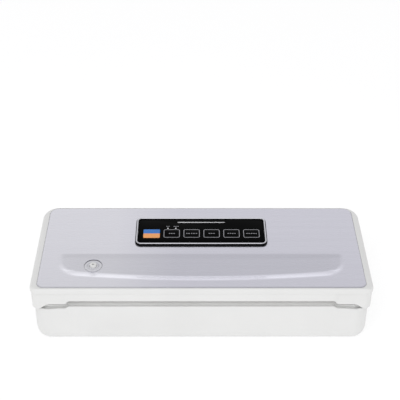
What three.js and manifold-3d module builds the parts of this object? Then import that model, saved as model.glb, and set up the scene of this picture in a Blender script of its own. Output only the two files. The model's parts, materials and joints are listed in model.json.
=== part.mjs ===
// Countertop vacuum sealer: a moulded base with a vacuum trough, pump and seal bar, and a hinged lid
// with a pressed metal top plate and a control panel.
// Millimetres, +Z up, front at -Y, origin at the bottom centre of the closed machine.
import * as THREE from 'three';
import { mergeVertices } from 'three/addons/utils/BufferGeometryUtils.js';
import Module from 'manifold-3d';

const wasm = await Module();
wasm.setup();

// ---------------------------------------------------------------- driving dimensions
const WIDTH = 380;
const DEPTH = 150;
const TOP_MID_Z = 78.7; // height of the top plate at the middle of its depth
const TOP_SLOPE = 5.4 / 150; // the top rises towards the rear
const TOP_TILT = Math.atan(TOP_SLOPE);
const GAP = 0.3; // clearance between touching pieces
const WALL = 2.5;

const FOOT_H = 2;
const BASE_W = 376.5;
const BASE_FRONT = -73.5;
const BASE_REAR = 72.5;
const BASE_R = { front: 18, rear: 14 };
const SHOULDER_Z = 44.5; // top edge of the base wall
const NECK_INSET = 3;
const BLOCK = { w: 293, z: 50.4, proud: 0.8 }; // middle of the front wall, which carries the bag
const DECK_Z = 51.1; // sealing plane of the base
const DECK_T = 3;

const SKIRT_W = 378;
const SKIRT_FRONT = -74;
const SKIRT_REAR = 72.5;
const SKIRT_R = { front: 8, rear: 15 };
const SKIRT_Z = 46.8; // lower edge of the lid
const LIP_Z = 69; // lower edge of the lid's wide lip
const LIP_R = { front: 9, rear: 17 };
const GRIP = { w: 350, z: 50.6 }; // the lid's front edge is raised a little for the fingers
const BAG_SLOT = { w: 294, z: 58.3 }; // and more over the width of a bag
const LINER_Z = 54.5; // sealing plane of the lid
const LINER_T = 3;

const PLATE_W = 367;
const PLATE_FRONT = -72.2;
const PLATE_REAR = 73.6;
const PLATE_R = { front: 7.5, rear: 10.5 };
const PLATE_T = 0.8;

const HINGE_Y = 65.5;
const HINGE_Z = 58.5;
const HINGE_R = 7; // radius of the lid's knuckles and of its rounded rear edge
const HINGE_X = 130;
const PIN_R = 2;
const LUG_W = 16;
const KNUCKLE_W = 4;

const TROUGH = { w: 300, front: -38, rear: -12, r: 3, floorZ: 42 };
const GASKET = { w: 324, front: -47, rear: -3, r: 17, band: 7 };
const MEET_Z = 52.75; // plane where the two gaskets meet
const SEAL_Y = -56;
const SEAL_W = 310;

const PANEL = { w: 154, front: 1, rear: 52.4, r: 7, ring: 2.9, proud: 2.8 };
const PANEL_Y = (PANEL.front + PANEL.rear) / 2;
const PANEL_TOP = 1.5; // panel face above the top plate
const KEY = { w: 19.4, d: 15.8, y: 21.9, r: 2.4 };
const KEY_XS = [-58.2, -34.6, -11.2, 12.2, 35.6, 59];
const BAR = { w: 56, d: 1.6, y: 44 };
const LEDS = { xs: [-39.2, -30], y: 32.4, r: 0.9 };

const DISH = { halfW: 160, rear: -14.3, frontMid: -59.6, arcR: 1300, cornerR: 13, depth: 3.5 };
const PORT = { x: -122.5, y: -32.5, ringR: 6.8, noseR: 4, boreR: 1.5, flangeR: 10 };
const FILTER = { x: -120, y: -25 }; // vacuum inlet in the floor of the trough
const CATCH_Y = -22;
const HOOK_X = 171;
const FOOT = { x: 155, y: 50, r: 9 };
const CIRCLE = 16; // facets of a full turn on round parts

// ---------------------------------------------------------------- materials
const paint = (color, roughness, metalness = 0) => ({ color, roughness, metalness });
const WHITE = paint(0xf2f2f0, 0.45);
const STEEL = paint(0xc7c5cf, 0.35, 0.9);
const CHROME = paint(0xe4e4e6, 0.12, 1);
const GLOSS_BLACK = paint(0x0b0b0d, 0.12);
const BLACK = paint(0x1b1b1d, 0.6);
const FOAM = paint(0x2f3033, 0.95);
const SILICONE = paint(0xb9473b, 0.6);
const TAPE = paint(0x8c6a43, 0.7);
const RUBBER = paint(0x2b2b2c, 0.9);
const COPPER = paint(0xb8713c, 0.35, 1);
const BOARD = paint(0x2d6a43, 0.55);
const CLEAR = paint(0xdfe4ea, 0.2);
const BLUE = paint(0x2f7fd6, 0.25);

// ---------------------------------------------------------------- solids and booleans
const toSolid = (geometry) => {
  const bare = geometry.clone();
  for (const key of Object.keys(bare.attributes)) {
    if (key !== 'position') bare.deleteAttribute(key);
  }
  const merged = mergeVertices(bare, 1e-4);
  return new wasm.Manifold(
    new wasm.Mesh({
      numProp: 3,
      vertProperties: new Float32Array(merged.attributes.position.array),
      triVerts: new Uint32Array(merged.index.array),
    }),
  );
};

const toGeometry = (solid) => {
  const mesh = solid.getMesh();
  const geometry = new THREE.BufferGeometry();
  geometry.setAttribute('position', new THREE.BufferAttribute(new Float32Array(mesh.vertProperties), 3));
  geometry.setIndex(new THREE.BufferAttribute(new Uint32Array(mesh.triVerts), 1));
  geometry.computeVertexNormals();
  return geometry;
};

const join = (first, ...rest) =>
  toGeometry(rest.reduce((sum, piece) => sum.add(toSolid(piece)), toSolid(first)));
const cut = (first, ...rest) =>
  toGeometry(rest.reduce((sum, piece) => sum.subtract(toSolid(piece)), toSolid(first)));

// ---------------------------------------------------------------- shapes
const box = (x0, x1, y0, y1, z0, z1) =>
  new THREE.BoxGeometry(x1 - x0, y1 - y0, z1 - z0)
    .translate((x0 + x1) / 2, (y0 + y1) / 2, (z0 + z1) / 2);

// A corner radius is one number, or { front, rear } where the two pairs of corners differ.
const cornerRadii = (r) => (typeof r === 'number' ? { front: r, rear: r } : r);
const shrink = (r, by) => ({ front: r.front - by, rear: r.rear - by });

const roundRect = (w, front, rear, r) => {
  const { front: rf, rear: rr } = cornerRadii(r);
  const shape = new THREE.Shape();
  shape.moveTo(w / 2 - rf, front);
  shape.absarc(w / 2 - rf, front + rf, rf, -Math.PI / 2, 0);
  shape.absarc(w / 2 - rr, rear - rr, rr, 0, Math.PI / 2);
  shape.absarc(-w / 2 + rr, rear - rr, rr, Math.PI / 2, Math.PI);
  shape.absarc(-w / 2 + rf, front + rf, rf, Math.PI, 1.5 * Math.PI);
  shape.closePath();
  return shape;
};

const slab = (shape, z0, z1, steps = 3) =>
  new THREE.ExtrudeGeometry(shape, { depth: z1 - z0, bevelEnabled: false, curveSegments: steps })
    .translate(0, 0, z0);

// A loft through rounded rectangles; each level may lean with the sloped top.
const stack = (levels, steps = 3) => {
  const rings = levels.map(({ w, front, rear, r, z, lean = 0 }) => {
    const { front: rf, rear: rr } = cornerRadii(r);
    const corners = [
      [w / 2 - rf, front + rf, rf, -0.5],
      [w / 2 - rr, rear - rr, rr, 0],
      [-w / 2 + rr, rear - rr, rr, 0.5],
      [-w / 2 + rf, front + rf, rf, 1],
    ];
    return corners.flatMap(([x, y, radius, turn]) =>
      Array.from({ length: steps + 1 }, (_, i) => {
        const angle = (turn + (0.5 * i) / steps) * Math.PI;
        const py = y + radius * Math.sin(angle);
        return [x + radius * Math.cos(angle), py, z + lean * py];
      }),
    );
  });
  const count = rings[0].length;
  const index = [];
  for (let k = 0; k + 1 < rings.length; k += 1) {
    for (let i = 0; i < count; i += 1) {
      const a = k * count + i;
      const b = k * count + ((i + 1) % count);
      index.push(a, b, b + count, a, b + count, a + count);
    }
  }
  const top = (rings.length - 1) * count;
  for (let i = 1; i + 1 < count; i += 1) {
    index.push(0, i + 1, i);
    index.push(top, top + i, top + i + 1);
  }
  const geometry = new THREE.BufferGeometry();
  geometry.setAttribute('position', new THREE.Float32BufferAttribute(rings.flat(2), 3));
  geometry.setIndex(index);
  geometry.computeVertexNormals();
  return geometry;
};

const level = (w, front, rear, r, z, lean = 0) => ({ w, front, rear, r, z, lean });

const rodX = (r, x0, x1, y, z, facets = CIRCLE) =>
  new THREE.CylinderGeometry(r, r, x1 - x0, facets)
    .rotateZ(Math.PI / 2)
    .translate((x0 + x1) / 2, y, z);

const rodZ = (r, z0, z1, x, y, facets = CIRCLE, rTop = r) =>
  new THREE.CylinderGeometry(rTop, r, z1 - z0, facets)
    .rotateX(Math.PI / 2)
    .translate(x, y, (z0 + z1) / 2);

const ring = (outer, inner, z0, z1, steps) => {
  const shape = roundRect(...outer);
  shape.holes.push(roundRect(...inner));
  return slab(shape, z0, z1, steps);
};

const tube = (points, r, facets = 8, steps = 24) => {
  const circle = new THREE.Path().absarc(0, 0, r, 0, 2 * Math.PI);
  const section = new THREE.Shape(circle.getSpacedPoints(facets).slice(0, facets));
  const path = new THREE.CatmullRomCurve3(points.map((p) => new THREE.Vector3(...p)));
  return new THREE.ExtrudeGeometry(section, { extrudePath: path, steps, bevelEnabled: false });
};

const mirrorX = (geometry) => toGeometry(toSolid(geometry).mirror([1, 0, 0]));

// ---------------------------------------------------------------- scene graph
const machine = new THREE.Group();
const base = new THREE.Group();
const lid = new THREE.Group();
// Pieces on the sloped top are drawn with z = 0 on the face of the top plate.
const top = new THREE.Group();
top.position.z = TOP_MID_Z;
top.rotation.x = TOP_TILT;
lid.add(top);
machine.add(base, lid);

const put = (group, name, geometry, look) => {
  const mesh = new THREE.Mesh(geometry, new THREE.MeshStandardMaterial(look));
  mesh.name = name;
  group.add(mesh);
  return mesh;
};

// ---------------------------------------------------------------- base housing
const baseLevel = (inset, z, wall = 0) => {
  const all = inset + wall;
  return level(BASE_W - 2 * all, BASE_FRONT + all, BASE_REAR - all, shrink(BASE_R, (inset + wall) / 2), z);
};

const INLET = { x: 140, z: 24, w: 24, h: 17, wall: 2, depth: 19 };
const BUTTON = { y: -30, z: 30, w: 26, h: 13, proud: 1.2 };
const TOOTH = { x0: -167.4, x1: -163, z0: 41.5, z1: 44.5 };
const SLIDER_Z = 31;
const FLOOR_Z = FOOT_H + WALL; // inside face of the base's floor
const SPRING = { x0: -BASE_W / 2 - BUTTON.proud + 8.7, x1: -165.7, z: 26 };
const SCREW = { x: 172, y: 52, headR: 3.2, shankR: 1.5 };
const BOARD_Z = 12;
const screwPlaces = [
  ['front_left', -1, -1],
  ['front_right', 1, -1],
  ['rear_left', -1, 1],
  ['rear_right', 1, 1],
];

const makeHousing = () => {
  const outer = stack([
    baseLevel(4.4, FOOT_H),
    baseLevel(2.4, FOOT_H + 1.8),
    baseLevel(0.9, FOOT_H + 5),
    baseLevel(0, FOOT_H + 12),
    baseLevel(0, SHOULDER_Z),
  ]);
  const block = roundRect(BLOCK.w, BASE_FRONT - BLOCK.proud, BASE_FRONT + WALL, 1.2);
  const inner = stack([
    baseLevel(4.4, FLOOR_Z, WALL),
    baseLevel(1, FLOOR_Z + 4, WALL),
    baseLevel(0, FLOOR_Z + 12, WALL),
    baseLevel(0, SHOULDER_Z + 10, WALL),
  ]);
  const bosses = screwPlaces.map(([, sx, sy]) =>
    rodZ(5, FLOOR_Z - 1, 14, sx * SCREW.x, sy * SCREW.y, 10));
  const boardPosts = [[-44, 12], [52, 12], [-44, 52], [52, 52]].map(([x, y]) =>
    rodZ(3, FLOOR_Z - 1, BOARD_Z - GAP, x, y, 8));
  const screwHoles = screwPlaces.flatMap(([, sx, sy]) => [
    rodZ(SCREW.headR + GAP, FOOT_H - 2, 9, sx * SCREW.x, sy * SCREW.y, 10),
    rodZ(SCREW.shankR + GAP, 8, 15, sx * SCREW.x, sy * SCREW.y, 10),
  ]);
  const springPosts = [-1, 1].map((side) =>
    box(side * 164 - 1, side * 164 + 1, BUTTON.y - 4, BUTTON.y + 4, FLOOR_Z - 1, SLIDER_Z - 1));
  const footHoles = screwPlaces.map(([, sx, sy]) =>
    rodZ(FOOT.r + GAP, FOOT_H - 1, FOOT_H + 1, sx * FOOT.x, sy * FOOT.y));
  const buttonHoles = [-1, 1].map((side) => {
    const x = (side * BASE_W) / 2;
    return box(x - 6, x + 6, BUTTON.y - BUTTON.w / 2 - GAP, BUTTON.y + BUTTON.w / 2 + GAP,
      BUTTON.z - BUTTON.h / 2 - GAP, BUTTON.z + BUTTON.h / 2 + GAP);
  });
  const inletHole = box(INLET.x - INLET.w / 2 - GAP, INLET.x + INLET.w / 2 + GAP, 60, 80,
    INLET.z - INLET.h / 2 - GAP, INLET.z + INLET.h / 2 + GAP);
  const walls = cut(join(outer, slab(block, FOOT_H + 6, BLOCK.z)), inner);
  return cut(
    join(walls, ...bosses, ...boardPosts, ...springPosts),
    ...screwHoles,
    ...footHoles,
    ...buttonHoles,
    inletHole,
  );
};
put(base, 'base_housing', makeHousing(), WHITE);

// ---------------------------------------------------------------- base deck
const neckLevel = (wall, z) => {
  const inset = NECK_INSET + wall;
  return level(BASE_W - 2 * inset, BASE_FRONT + inset, BASE_REAR - inset, shrink(BASE_R, inset * 0.6), z);
};
const HOOK_SLOT = { w: 9, front: CATCH_Y - 11, rear: CATCH_Y + 8 };
const LOWER_GROOVE_Z = DECK_Z - 1.2;
const BAR_SLOT_Z = DECK_Z - 2;

// The gasket's band, grown on both sides for the grooves that hold it.
const gasketRing = (z0, z1, grow = 0) => {
  const rim = (inset) =>
    [GASKET.w - 2 * inset, GASKET.front + inset, GASKET.rear - inset, GASKET.r - inset];
  return ring(rim(-grow), rim(GASKET.band + grow), z0, z1);
};

const hingeLug = (side) => {
  const x0 = side * HINGE_X - LUG_W / 2;
  const foot = box(x0, x0 + LUG_W, HINGE_Y - 6.4, HINGE_Y + 3.9, DECK_Z - 1, HINGE_Z);
  return join(foot, rodX(6.4, x0, x0 + LUG_W, HINGE_Y, HINGE_Z));
};

const makeDeck = () => {
  const shell = cut(
    stack([neckLevel(0, SHOULDER_Z - 4), neckLevel(0, DECK_Z)]),
    stack([neckLevel(2, SHOULDER_Z - 5), neckLevel(2, DECK_Z - DECK_T)]),
  );
  const pan = slab(
    roundRect(TROUGH.w + 4, TROUGH.front - 2, TROUGH.rear + 2, TROUGH.r + 2),
    TROUGH.floorZ - 2,
    DECK_Z - 1,
  );
  const posts = screwPlaces.map(([, sx, sy]) =>
    rodZ(4, 14.3, DECK_Z - 1, sx * SCREW.x, sy * SCREW.y, 10));
  const solid = join(shell, pan, ...posts, hingeLug(-1), hingeLug(1));
  const slots = [-1, 1].map((side) =>
    box(side * HOOK_X - HOOK_SLOT.w / 2, side * HOOK_X + HOOK_SLOT.w / 2,
      HOOK_SLOT.front, HOOK_SLOT.rear, DECK_Z - 5, DECK_Z + 1));
  const pinBores = [-1, 1].map((side) =>
    rodX(PIN_R + GAP, side * HINGE_X - 9, side * HINGE_X + 9, HINGE_Y, HINGE_Z));
  const threads = screwPlaces.map(([, sx, sy]) =>
    rodZ(SCREW.shankR + GAP, 13, 26, sx * SCREW.x, sy * SCREW.y, 10));
  return cut(
    solid,
    slab(roundRect(TROUGH.w, TROUGH.front, TROUGH.rear, TROUGH.r), TROUGH.floorZ, DECK_Z + 1),
    gasketRing(LOWER_GROOVE_Z, DECK_Z + 1, GAP),
    box(-SEAL_W / 2 - GAP, SEAL_W / 2 + GAP, SEAL_Y - 5.3, SEAL_Y + 5.3, BAR_SLOT_Z, DECK_Z + 1),
    rodZ(4.3, TROUGH.floorZ - 4, TROUGH.floorZ + 1, FILTER.x, FILTER.y),
    ...slots,
    ...pinBores,
    ...threads,
  );
};
put(base, 'base_deck', makeDeck(), WHITE);

put(base, 'lower_gasket', gasketRing(LOWER_GROOVE_Z + GAP, MEET_Z - GAP / 2), FOAM);

// Seal bar: an insulating carrier, the heating wire on it and the non-stick tape over both.
const BAR_TOP = DECK_Z + 0.5;
const WIRE_T = 0.3;
const TAPE_T = 0.4;
put(base, 'seal_bar',
  box(-SEAL_W / 2, SEAL_W / 2, SEAL_Y - 5, SEAL_Y + 5, BAR_SLOT_Z + GAP, BAR_TOP), BLACK);
put(base, 'heating_wire',
  box(-SEAL_W / 2 + 4, SEAL_W / 2 - 4, SEAL_Y - 1.5, SEAL_Y + 1.5,
    BAR_TOP + 0.1, BAR_TOP + 0.1 + WIRE_T), STEEL);
const tapeZ = BAR_TOP + 0.2 + WIRE_T;
put(base, 'nonstick_tape',
  box(-SEAL_W / 2, SEAL_W / 2, SEAL_Y - 4.5, SEAL_Y + 4.5, tapeZ, tapeZ + TAPE_T), TAPE);

const makeFilter = () => {
  const cap = join(
    rodZ(7, TROUGH.floorZ + GAP, TROUGH.floorZ + 2.5, FILTER.x, FILTER.y),
    rodZ(4, TROUGH.floorZ - 9, TROUGH.floorZ + 1, FILTER.x, FILTER.y),
  );
  const holes = [0, 1, 2, 3].map((k) =>
    rodZ(0.9, TROUGH.floorZ - 1, TROUGH.floorZ + 3,
      FILTER.x + 2.2 * Math.cos((k * Math.PI) / 2), FILTER.y + 2.2 * Math.sin((k * Math.PI) / 2), 8));
  return cut(cap, ...holes, rodZ(3.2, TROUGH.floorZ - 10, TROUGH.floorZ + 0.5, FILTER.x, FILTER.y, 16));
};
put(base, 'trough_filter', makeFilter(), CLEAR);

// ---------------------------------------------------------------- pump
const PUMP = { y: 30, z: 26, headX: -140, headW: 30, motorR: 13.5, motorX: -101, motorL: 48 };
const makePumpHead = () => {
  const head = join(
    box(PUMP.headX - PUMP.headW / 2, PUMP.headX + PUMP.headW / 2, PUMP.y - 17, PUMP.y + 17,
      PUMP.z - 15, PUMP.z + 14),
    rodZ(11, PUMP.z + 10, PUMP.z + 19, PUMP.headX, PUMP.y, 16),
    rodZ(2.6, PUMP.z + 15, PUMP.z + 22, PUMP.headX - 5, PUMP.y - 6, 12),
  );
  const cavity = rodX(12, PUMP.headX - 9, PUMP.headX + PUMP.headW / 2 + 1, PUMP.y, PUMP.z, 16);
  return cut(head, cavity);
};
put(base, 'pump_head', makePumpHead(), BLACK);
const motorX0 = PUMP.headX + PUMP.headW / 2 + GAP;
put(base, 'pump_motor',
  cut(
    join(
      rodX(PUMP.motorR, motorX0, motorX0 + PUMP.motorL, PUMP.y, PUMP.z),
      rodX(5, motorX0 + PUMP.motorL - 1, motorX0 + PUMP.motorL + 3, PUMP.y, PUMP.z, 12),
    ),
    rodX(1.8, motorX0 - 1, motorX0 + 20, PUMP.y, PUMP.z, 12),
  ), STEEL);
put(base, 'pump_crank',
  join(
    rodX(1.5, PUMP.headX - 7, motorX0 + 18, PUMP.y, PUMP.z, 12),
    rodX(5, PUMP.headX - 6, PUMP.headX + 3, PUMP.y, PUMP.z - 2.5, 16),
    rodX(7, PUMP.headX + 4, PUMP.headX + 10, PUMP.y, PUMP.z - 2, 16),
  ), COPPER);
const makeBracket = () => {
  const x0 = motorX0 + 14;
  const strap = join(
    box(x0, x0 + 20, PUMP.y - 17, PUMP.y + 17, PUMP.z - 17, PUMP.z - 4),
    box(x0, x0 + 20, PUMP.y - 24, PUMP.y + 24, FLOOR_Z + GAP, FLOOR_Z + 3),
    box(x0, x0 + 20, PUMP.y - 17, PUMP.y + 17, FLOOR_Z + 2, PUMP.z - 16),
  );
  return cut(strap, rodX(PUMP.motorR + GAP, x0 - 1, x0 + 21, PUMP.y, PUMP.z));
};
put(base, 'pump_bracket', makeBracket(), BLACK);
put(base, 'vacuum_hose',
  tube([
    [FILTER.x, FILTER.y, TROUGH.floorZ - 9.4],
    [FILTER.x, FILTER.y, 26],
    [FILTER.x + 3, -14, 18],
    [FILTER.x + 4, -2, 20],
    [FILTER.x - 6, 8.8, 30],
  ], 2.6), CLEAR);

// ---------------------------------------------------------------- electrics
const makePowerBoard = () => {
  const parts = [
    box(-20, 4, 18, 40, BOARD_Z + 1, BOARD_Z + 18),
    rodZ(6, BOARD_Z + 1, BOARD_Z + 22, 22, 28, 16),
    box(34, 50, 14, 24, BOARD_Z + 1, BOARD_Z + 14),
    box(-40, -26, 14, 34, BOARD_Z + 1, BOARD_Z + 10),
    box(10, 48, 44, 48, BOARD_Z + 1, BOARD_Z + 24),
  ];
  return join(box(-48, 56, 8, 56, BOARD_Z, BOARD_Z + 1.6), ...parts);
};
put(base, 'power_board', makePowerBoard(), BOARD);

const CORE = { x0: 66, x1: 110, y0: 14, y1: 52, z0: FLOOR_Z + GAP, z1: 38, window: 7 };
const makeCore = () => {
  const block = box(CORE.x0, CORE.x1, CORE.y0, CORE.y1, CORE.z0, CORE.z1);
  const windows = [CORE.x0 + 7, CORE.x1 - 7 - CORE.window].map((x) =>
    box(x, x + CORE.window, CORE.y0 - 1, CORE.y1 + 1, CORE.z0 + 7, CORE.z1 - 7));
  const ends = [[CORE.y0 - 1, CORE.y0 + 7], [CORE.y1 - 7, CORE.y1 + 1]].map(([a, b]) =>
    box(CORE.x0 + 7, CORE.x1 - 7, a, b, CORE.z0 + 7, CORE.z1 - 7));
  return cut(block, ...windows, ...ends);
};
put(base, 'transformer_core', makeCore(), STEEL);
put(base, 'transformer_winding',
  ring([CORE.x1 - CORE.x0 - 14.6, CORE.y0 + 0.5, CORE.y1 - 0.5, 2],
    [CORE.x1 - CORE.x0 - 27.4, CORE.y0 + 6.7, CORE.y1 - 6.7, 0.5], CORE.z0 + 7.3, CORE.z1 - 7.3, 2)
    .translate((CORE.x0 + CORE.x1) / 2, 0, 0), COPPER);
put(base, 'release_valve',
  join(box(122, 142, -2, 22, FLOOR_Z + GAP, 26), rodZ(4, 25, 32, 132, 10, 12)), BLACK);

const makeInlet = () => {
  const rear = BASE_REAR;
  const flange = roundRect(INLET.w + 4, -INLET.h / 2 - 2, INLET.h / 2 + 2, 3);
  const upright = (geometry) => geometry.rotateX(Math.PI / 2).translate(INLET.x, 0, INLET.z);
  const body = join(
    upright(slab(roundRect(INLET.w, -INLET.h / 2, INLET.h / 2, 2), -rear - 0.6, -rear + INLET.depth)),
    upright(slab(flange, -rear - 1.9, -rear - GAP)),
  );
  const cavity = upright(
    slab(roundRect(INLET.w - 2 * INLET.wall, -INLET.h / 2 + 2, INLET.h / 2 - 2, 4),
      -rear - 3, -rear + INLET.depth - 3));
  const pins = [-4.4, 4.4].map((dx) =>
    new THREE.CylinderGeometry(1.2, 1.2, 14, 12).translate(INLET.x + dx, rear - INLET.depth + 9, INLET.z));
  return join(cut(body, cavity), ...pins);
};
put(base, 'mains_inlet', makeInlet(), BLACK);

// ---------------------------------------------------------------- release buttons, springs, switches
const COIL_STEPS = 8;
const spring = (x0, x1, y, z, r, wireR, turns) => {
  const count = turns * COIL_STEPS;
  const points = Array.from({ length: count + 1 }, (_, i) => {
    const angle = (2 * Math.PI * i) / COIL_STEPS;
    return [x0 + ((x1 - x0) * i) / count, y + r * Math.cos(angle), z + r * Math.sin(angle)];
  });
  return tube(points, wireR, 4, count);
};

// The push cap's slider passes under the lid hook; its tooth faces the barb from the inside, so a
// push moves the tooth away from the barb.
const makeButton = () => {
  const face = -BASE_W / 2 - BUTTON.proud;
  const cap = box(face, face + 8, BUTTON.y - BUTTON.w / 2, BUTTON.y + BUTTON.w / 2,
    BUTTON.z - BUTTON.h / 2, BUTTON.z + BUTTON.h / 2);
  const flange = box(-BASE_W / 2 + WALL + 0.6, face + 8, BUTTON.y - BUTTON.w / 2 - 2,
    BUTTON.y + BUTTON.w / 2 + 2, BUTTON.z - BUTTON.h / 2 - 2, BUTTON.z + BUTTON.h / 2 + 2);
  const slider = box(face + 7, TOOTH.x1, BUTTON.y - 4, CATCH_Y + 4, SLIDER_Z, SLIDER_Z + 3);
  const riser = box(TOOTH.x1 - 3, TOOTH.x1, CATCH_Y - 4, CATCH_Y + 4, SLIDER_Z, TOOTH.z1);
  const tooth = box(TOOTH.x0, TOOTH.x1, CATCH_Y - 4, CATCH_Y + 4, TOOTH.z0, TOOTH.z1);
  const stem = rodX(1.6, face + 7, face + 16, BUTTON.y, SPRING.z, 12);
  return join(cap, flange, slider, riser, tooth, stem);
};
[['left', (g) => g], ['right', mirrorX]].forEach(([side, flip]) => {
  put(base, `release_button_${side}`, flip(makeButton()), WHITE);
  put(base, `release_spring_${side}`,
    flip(spring(SPRING.x0, SPRING.x1, BUTTON.y, SPRING.z, 3, 0.4, 4)), STEEL);
  put(base, `lid_switch_${side}`,
    flip(join(box(-168, -158, -4, 12, 34, 44), box(-167, -163, 0, 8, 43, 46))), BLACK);
});

// ---------------------------------------------------------------- hinge pins, feet, base screws
[['left', -1], ['right', 1]].forEach(([name, side]) => {
  const half = LUG_W / 2 + KNUCKLE_W;
  put(base, `hinge_pin_${name}`,
    rodX(PIN_R, side * HINGE_X - half, side * HINGE_X + half, HINGE_Y, HINGE_Z), STEEL);
});
screwPlaces.forEach(([name, sx, sy]) => {
  put(base, `foot_${name}`,
    rodZ(FOOT.r - 0.8, 0, FOOT_H + 0.7, sx * FOOT.x, sy * FOOT.y, CIRCLE, FOOT.r), RUBBER);
  put(base, `base_screw_${name}`,
    join(
      rodZ(SCREW.headR, 6, 7.7, sx * SCREW.x, sy * SCREW.y, 10),
      rodZ(SCREW.shankR, 7, 24, sx * SCREW.x, sy * SCREW.y, 10),
    ), STEEL);
});

// ---------------------------------------------------------------- lid frame
const LEDGE_TOP = -PLATE_T - GAP;
const LEDGE_T = 2.5;
const LID_BOSS = { x: 178.5, y: 50, r: 3.6 };
const lean = TOP_SLOPE;

const rearRound = (r) => {
  const band = box(-WIDTH, WIDTH, HINGE_Y, DEPTH, SKIRT_Z - 2, HINGE_Z);
  return cut(band, rodX(r, -WIDTH - 1, WIDTH + 1, HINGE_Y, HINGE_Z, 16));
};

const skirtLevel = (inset, z, tilt = 0) =>
  level(SKIRT_W - 2 * inset, SKIRT_FRONT + inset, SKIRT_REAR - inset, shrink(SKIRT_R, inset * 0.8), z, tilt);
const lipLevel = (side, ends, z, tilt = 0) =>
  level(WIDTH - 2 * side, -DEPTH / 2 + ends, DEPTH / 2 - ends, shrink(LIP_R, side * 0.6), z, tilt);

const makeLidFrame = () => {
  const topZ = TOP_MID_Z;
  const outer = join(
    stack([skirtLevel(0, SKIRT_Z), skirtLevel(0, LIP_Z + 0.5)]),
    stack([
      lipLevel(0, 0, LIP_Z),
      lipLevel(0, 0, topZ - 4, lean),
      lipLevel(0.7, 0.3, topZ - 1.4, lean),
      lipLevel(2.2, 0.7, topZ, lean),
    ]),
  );
  const cavity = cut(
    stack([
      skirtLevel(WALL, SKIRT_Z - 1),
      skirtLevel(WALL, topZ + LEDGE_TOP - LEDGE_T, lean),
    ]),
    rearRound(HINGE_R - WALL),
  );
  const edge = WALL + 4.5;
  const windowLevel = (z) =>
    level(PLATE_W - 18, SKIRT_FRONT + edge, SKIRT_REAR - edge, shrink(SKIRT_R, 4), z);
  const window = stack([windowLevel(topZ - 12), windowLevel(topZ + 8)]);
  const recessLevel = (z) => (
    { w: PLATE_W + 2 * GAP, front: PLATE_FRONT - GAP, rear: PLATE_REAR + GAP, r: PLATE_R, z, lean });
  const recess = stack([recessLevel(topZ + LEDGE_TOP), recessLevel(topZ + 8)]);
  const slotShape = new THREE.Shape([
    new THREE.Vector2(-GRIP.w / 2 - 3, SKIRT_Z - 1),
    new THREE.Vector2(GRIP.w / 2 + 3, SKIRT_Z - 1),
    new THREE.Vector2(GRIP.w / 2, GRIP.z),
    new THREE.Vector2(BAG_SLOT.w / 2 + 5, GRIP.z),
    new THREE.Vector2(BAG_SLOT.w / 2, BAG_SLOT.z),
    new THREE.Vector2(-BAG_SLOT.w / 2, BAG_SLOT.z),
    new THREE.Vector2(-BAG_SLOT.w / 2 - 5, GRIP.z),
    new THREE.Vector2(-GRIP.w / 2, GRIP.z),
  ]);
  const bagSlot = slab(slotShape, 0, 20).rotateX(Math.PI / 2).translate(0, SKIRT_FRONT + WALL + 0.2, 0);
  // The side walls stop short of the hinge, so that their ends swing clear of the deck.
  const heel = box(-WIDTH, WIDTH, HINGE_Y - 8, HINGE_Y + 0.1, SKIRT_Z - 2, HINGE_Z - HINGE_R);
  const shell = cut(outer, cavity, window, recess, bagSlot, heel, rearRound(HINGE_R));
  const half = LUG_W / 2 + GAP * 2;
  const knuckles = [-1, 1].flatMap((side) => [
    rodX(HINGE_R, side * HINGE_X - half - KNUCKLE_W, side * HINGE_X - half, HINGE_Y, HINGE_Z),
    rodX(HINGE_R, side * HINGE_X + half, side * HINGE_X + half + KNUCKLE_W, HINGE_Y, HINGE_Z),
  ]);
  const notches = [-1, 1].map((side) =>
    box(side * HINGE_X - half, side * HINGE_X + half, HINGE_Y - 8, SKIRT_REAR + 0.1,
      SKIRT_Z - 1, HINGE_Z + 7.5));
  const bores = [-1, 1].map((side) =>
    rodX(PIN_R + GAP, side * HINGE_X - 20, side * HINGE_X + 20, HINGE_Y, HINGE_Z));
  const bosses = screwPlaces.map(([, sx, sy]) => {
    const bossTop = topZ - 3 + lean * sy * LID_BOSS.y;
    return rodZ(LID_BOSS.r, LINER_Z + LINER_T + GAP, bossTop, sx * LID_BOSS.x, sy * LID_BOSS.y, 10);
  });
  const bossHoles = screwPlaces.map(([, sx, sy]) =>
    rodZ(1.5, LINER_Z, 70, sx * LID_BOSS.x, sy * LID_BOSS.y, 10));
  return cut(join(shell, ...knuckles, ...bosses), ...notches, ...bores, ...bossHoles);
};
put(lid, 'lid_frame', makeLidFrame(), WHITE);

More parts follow.
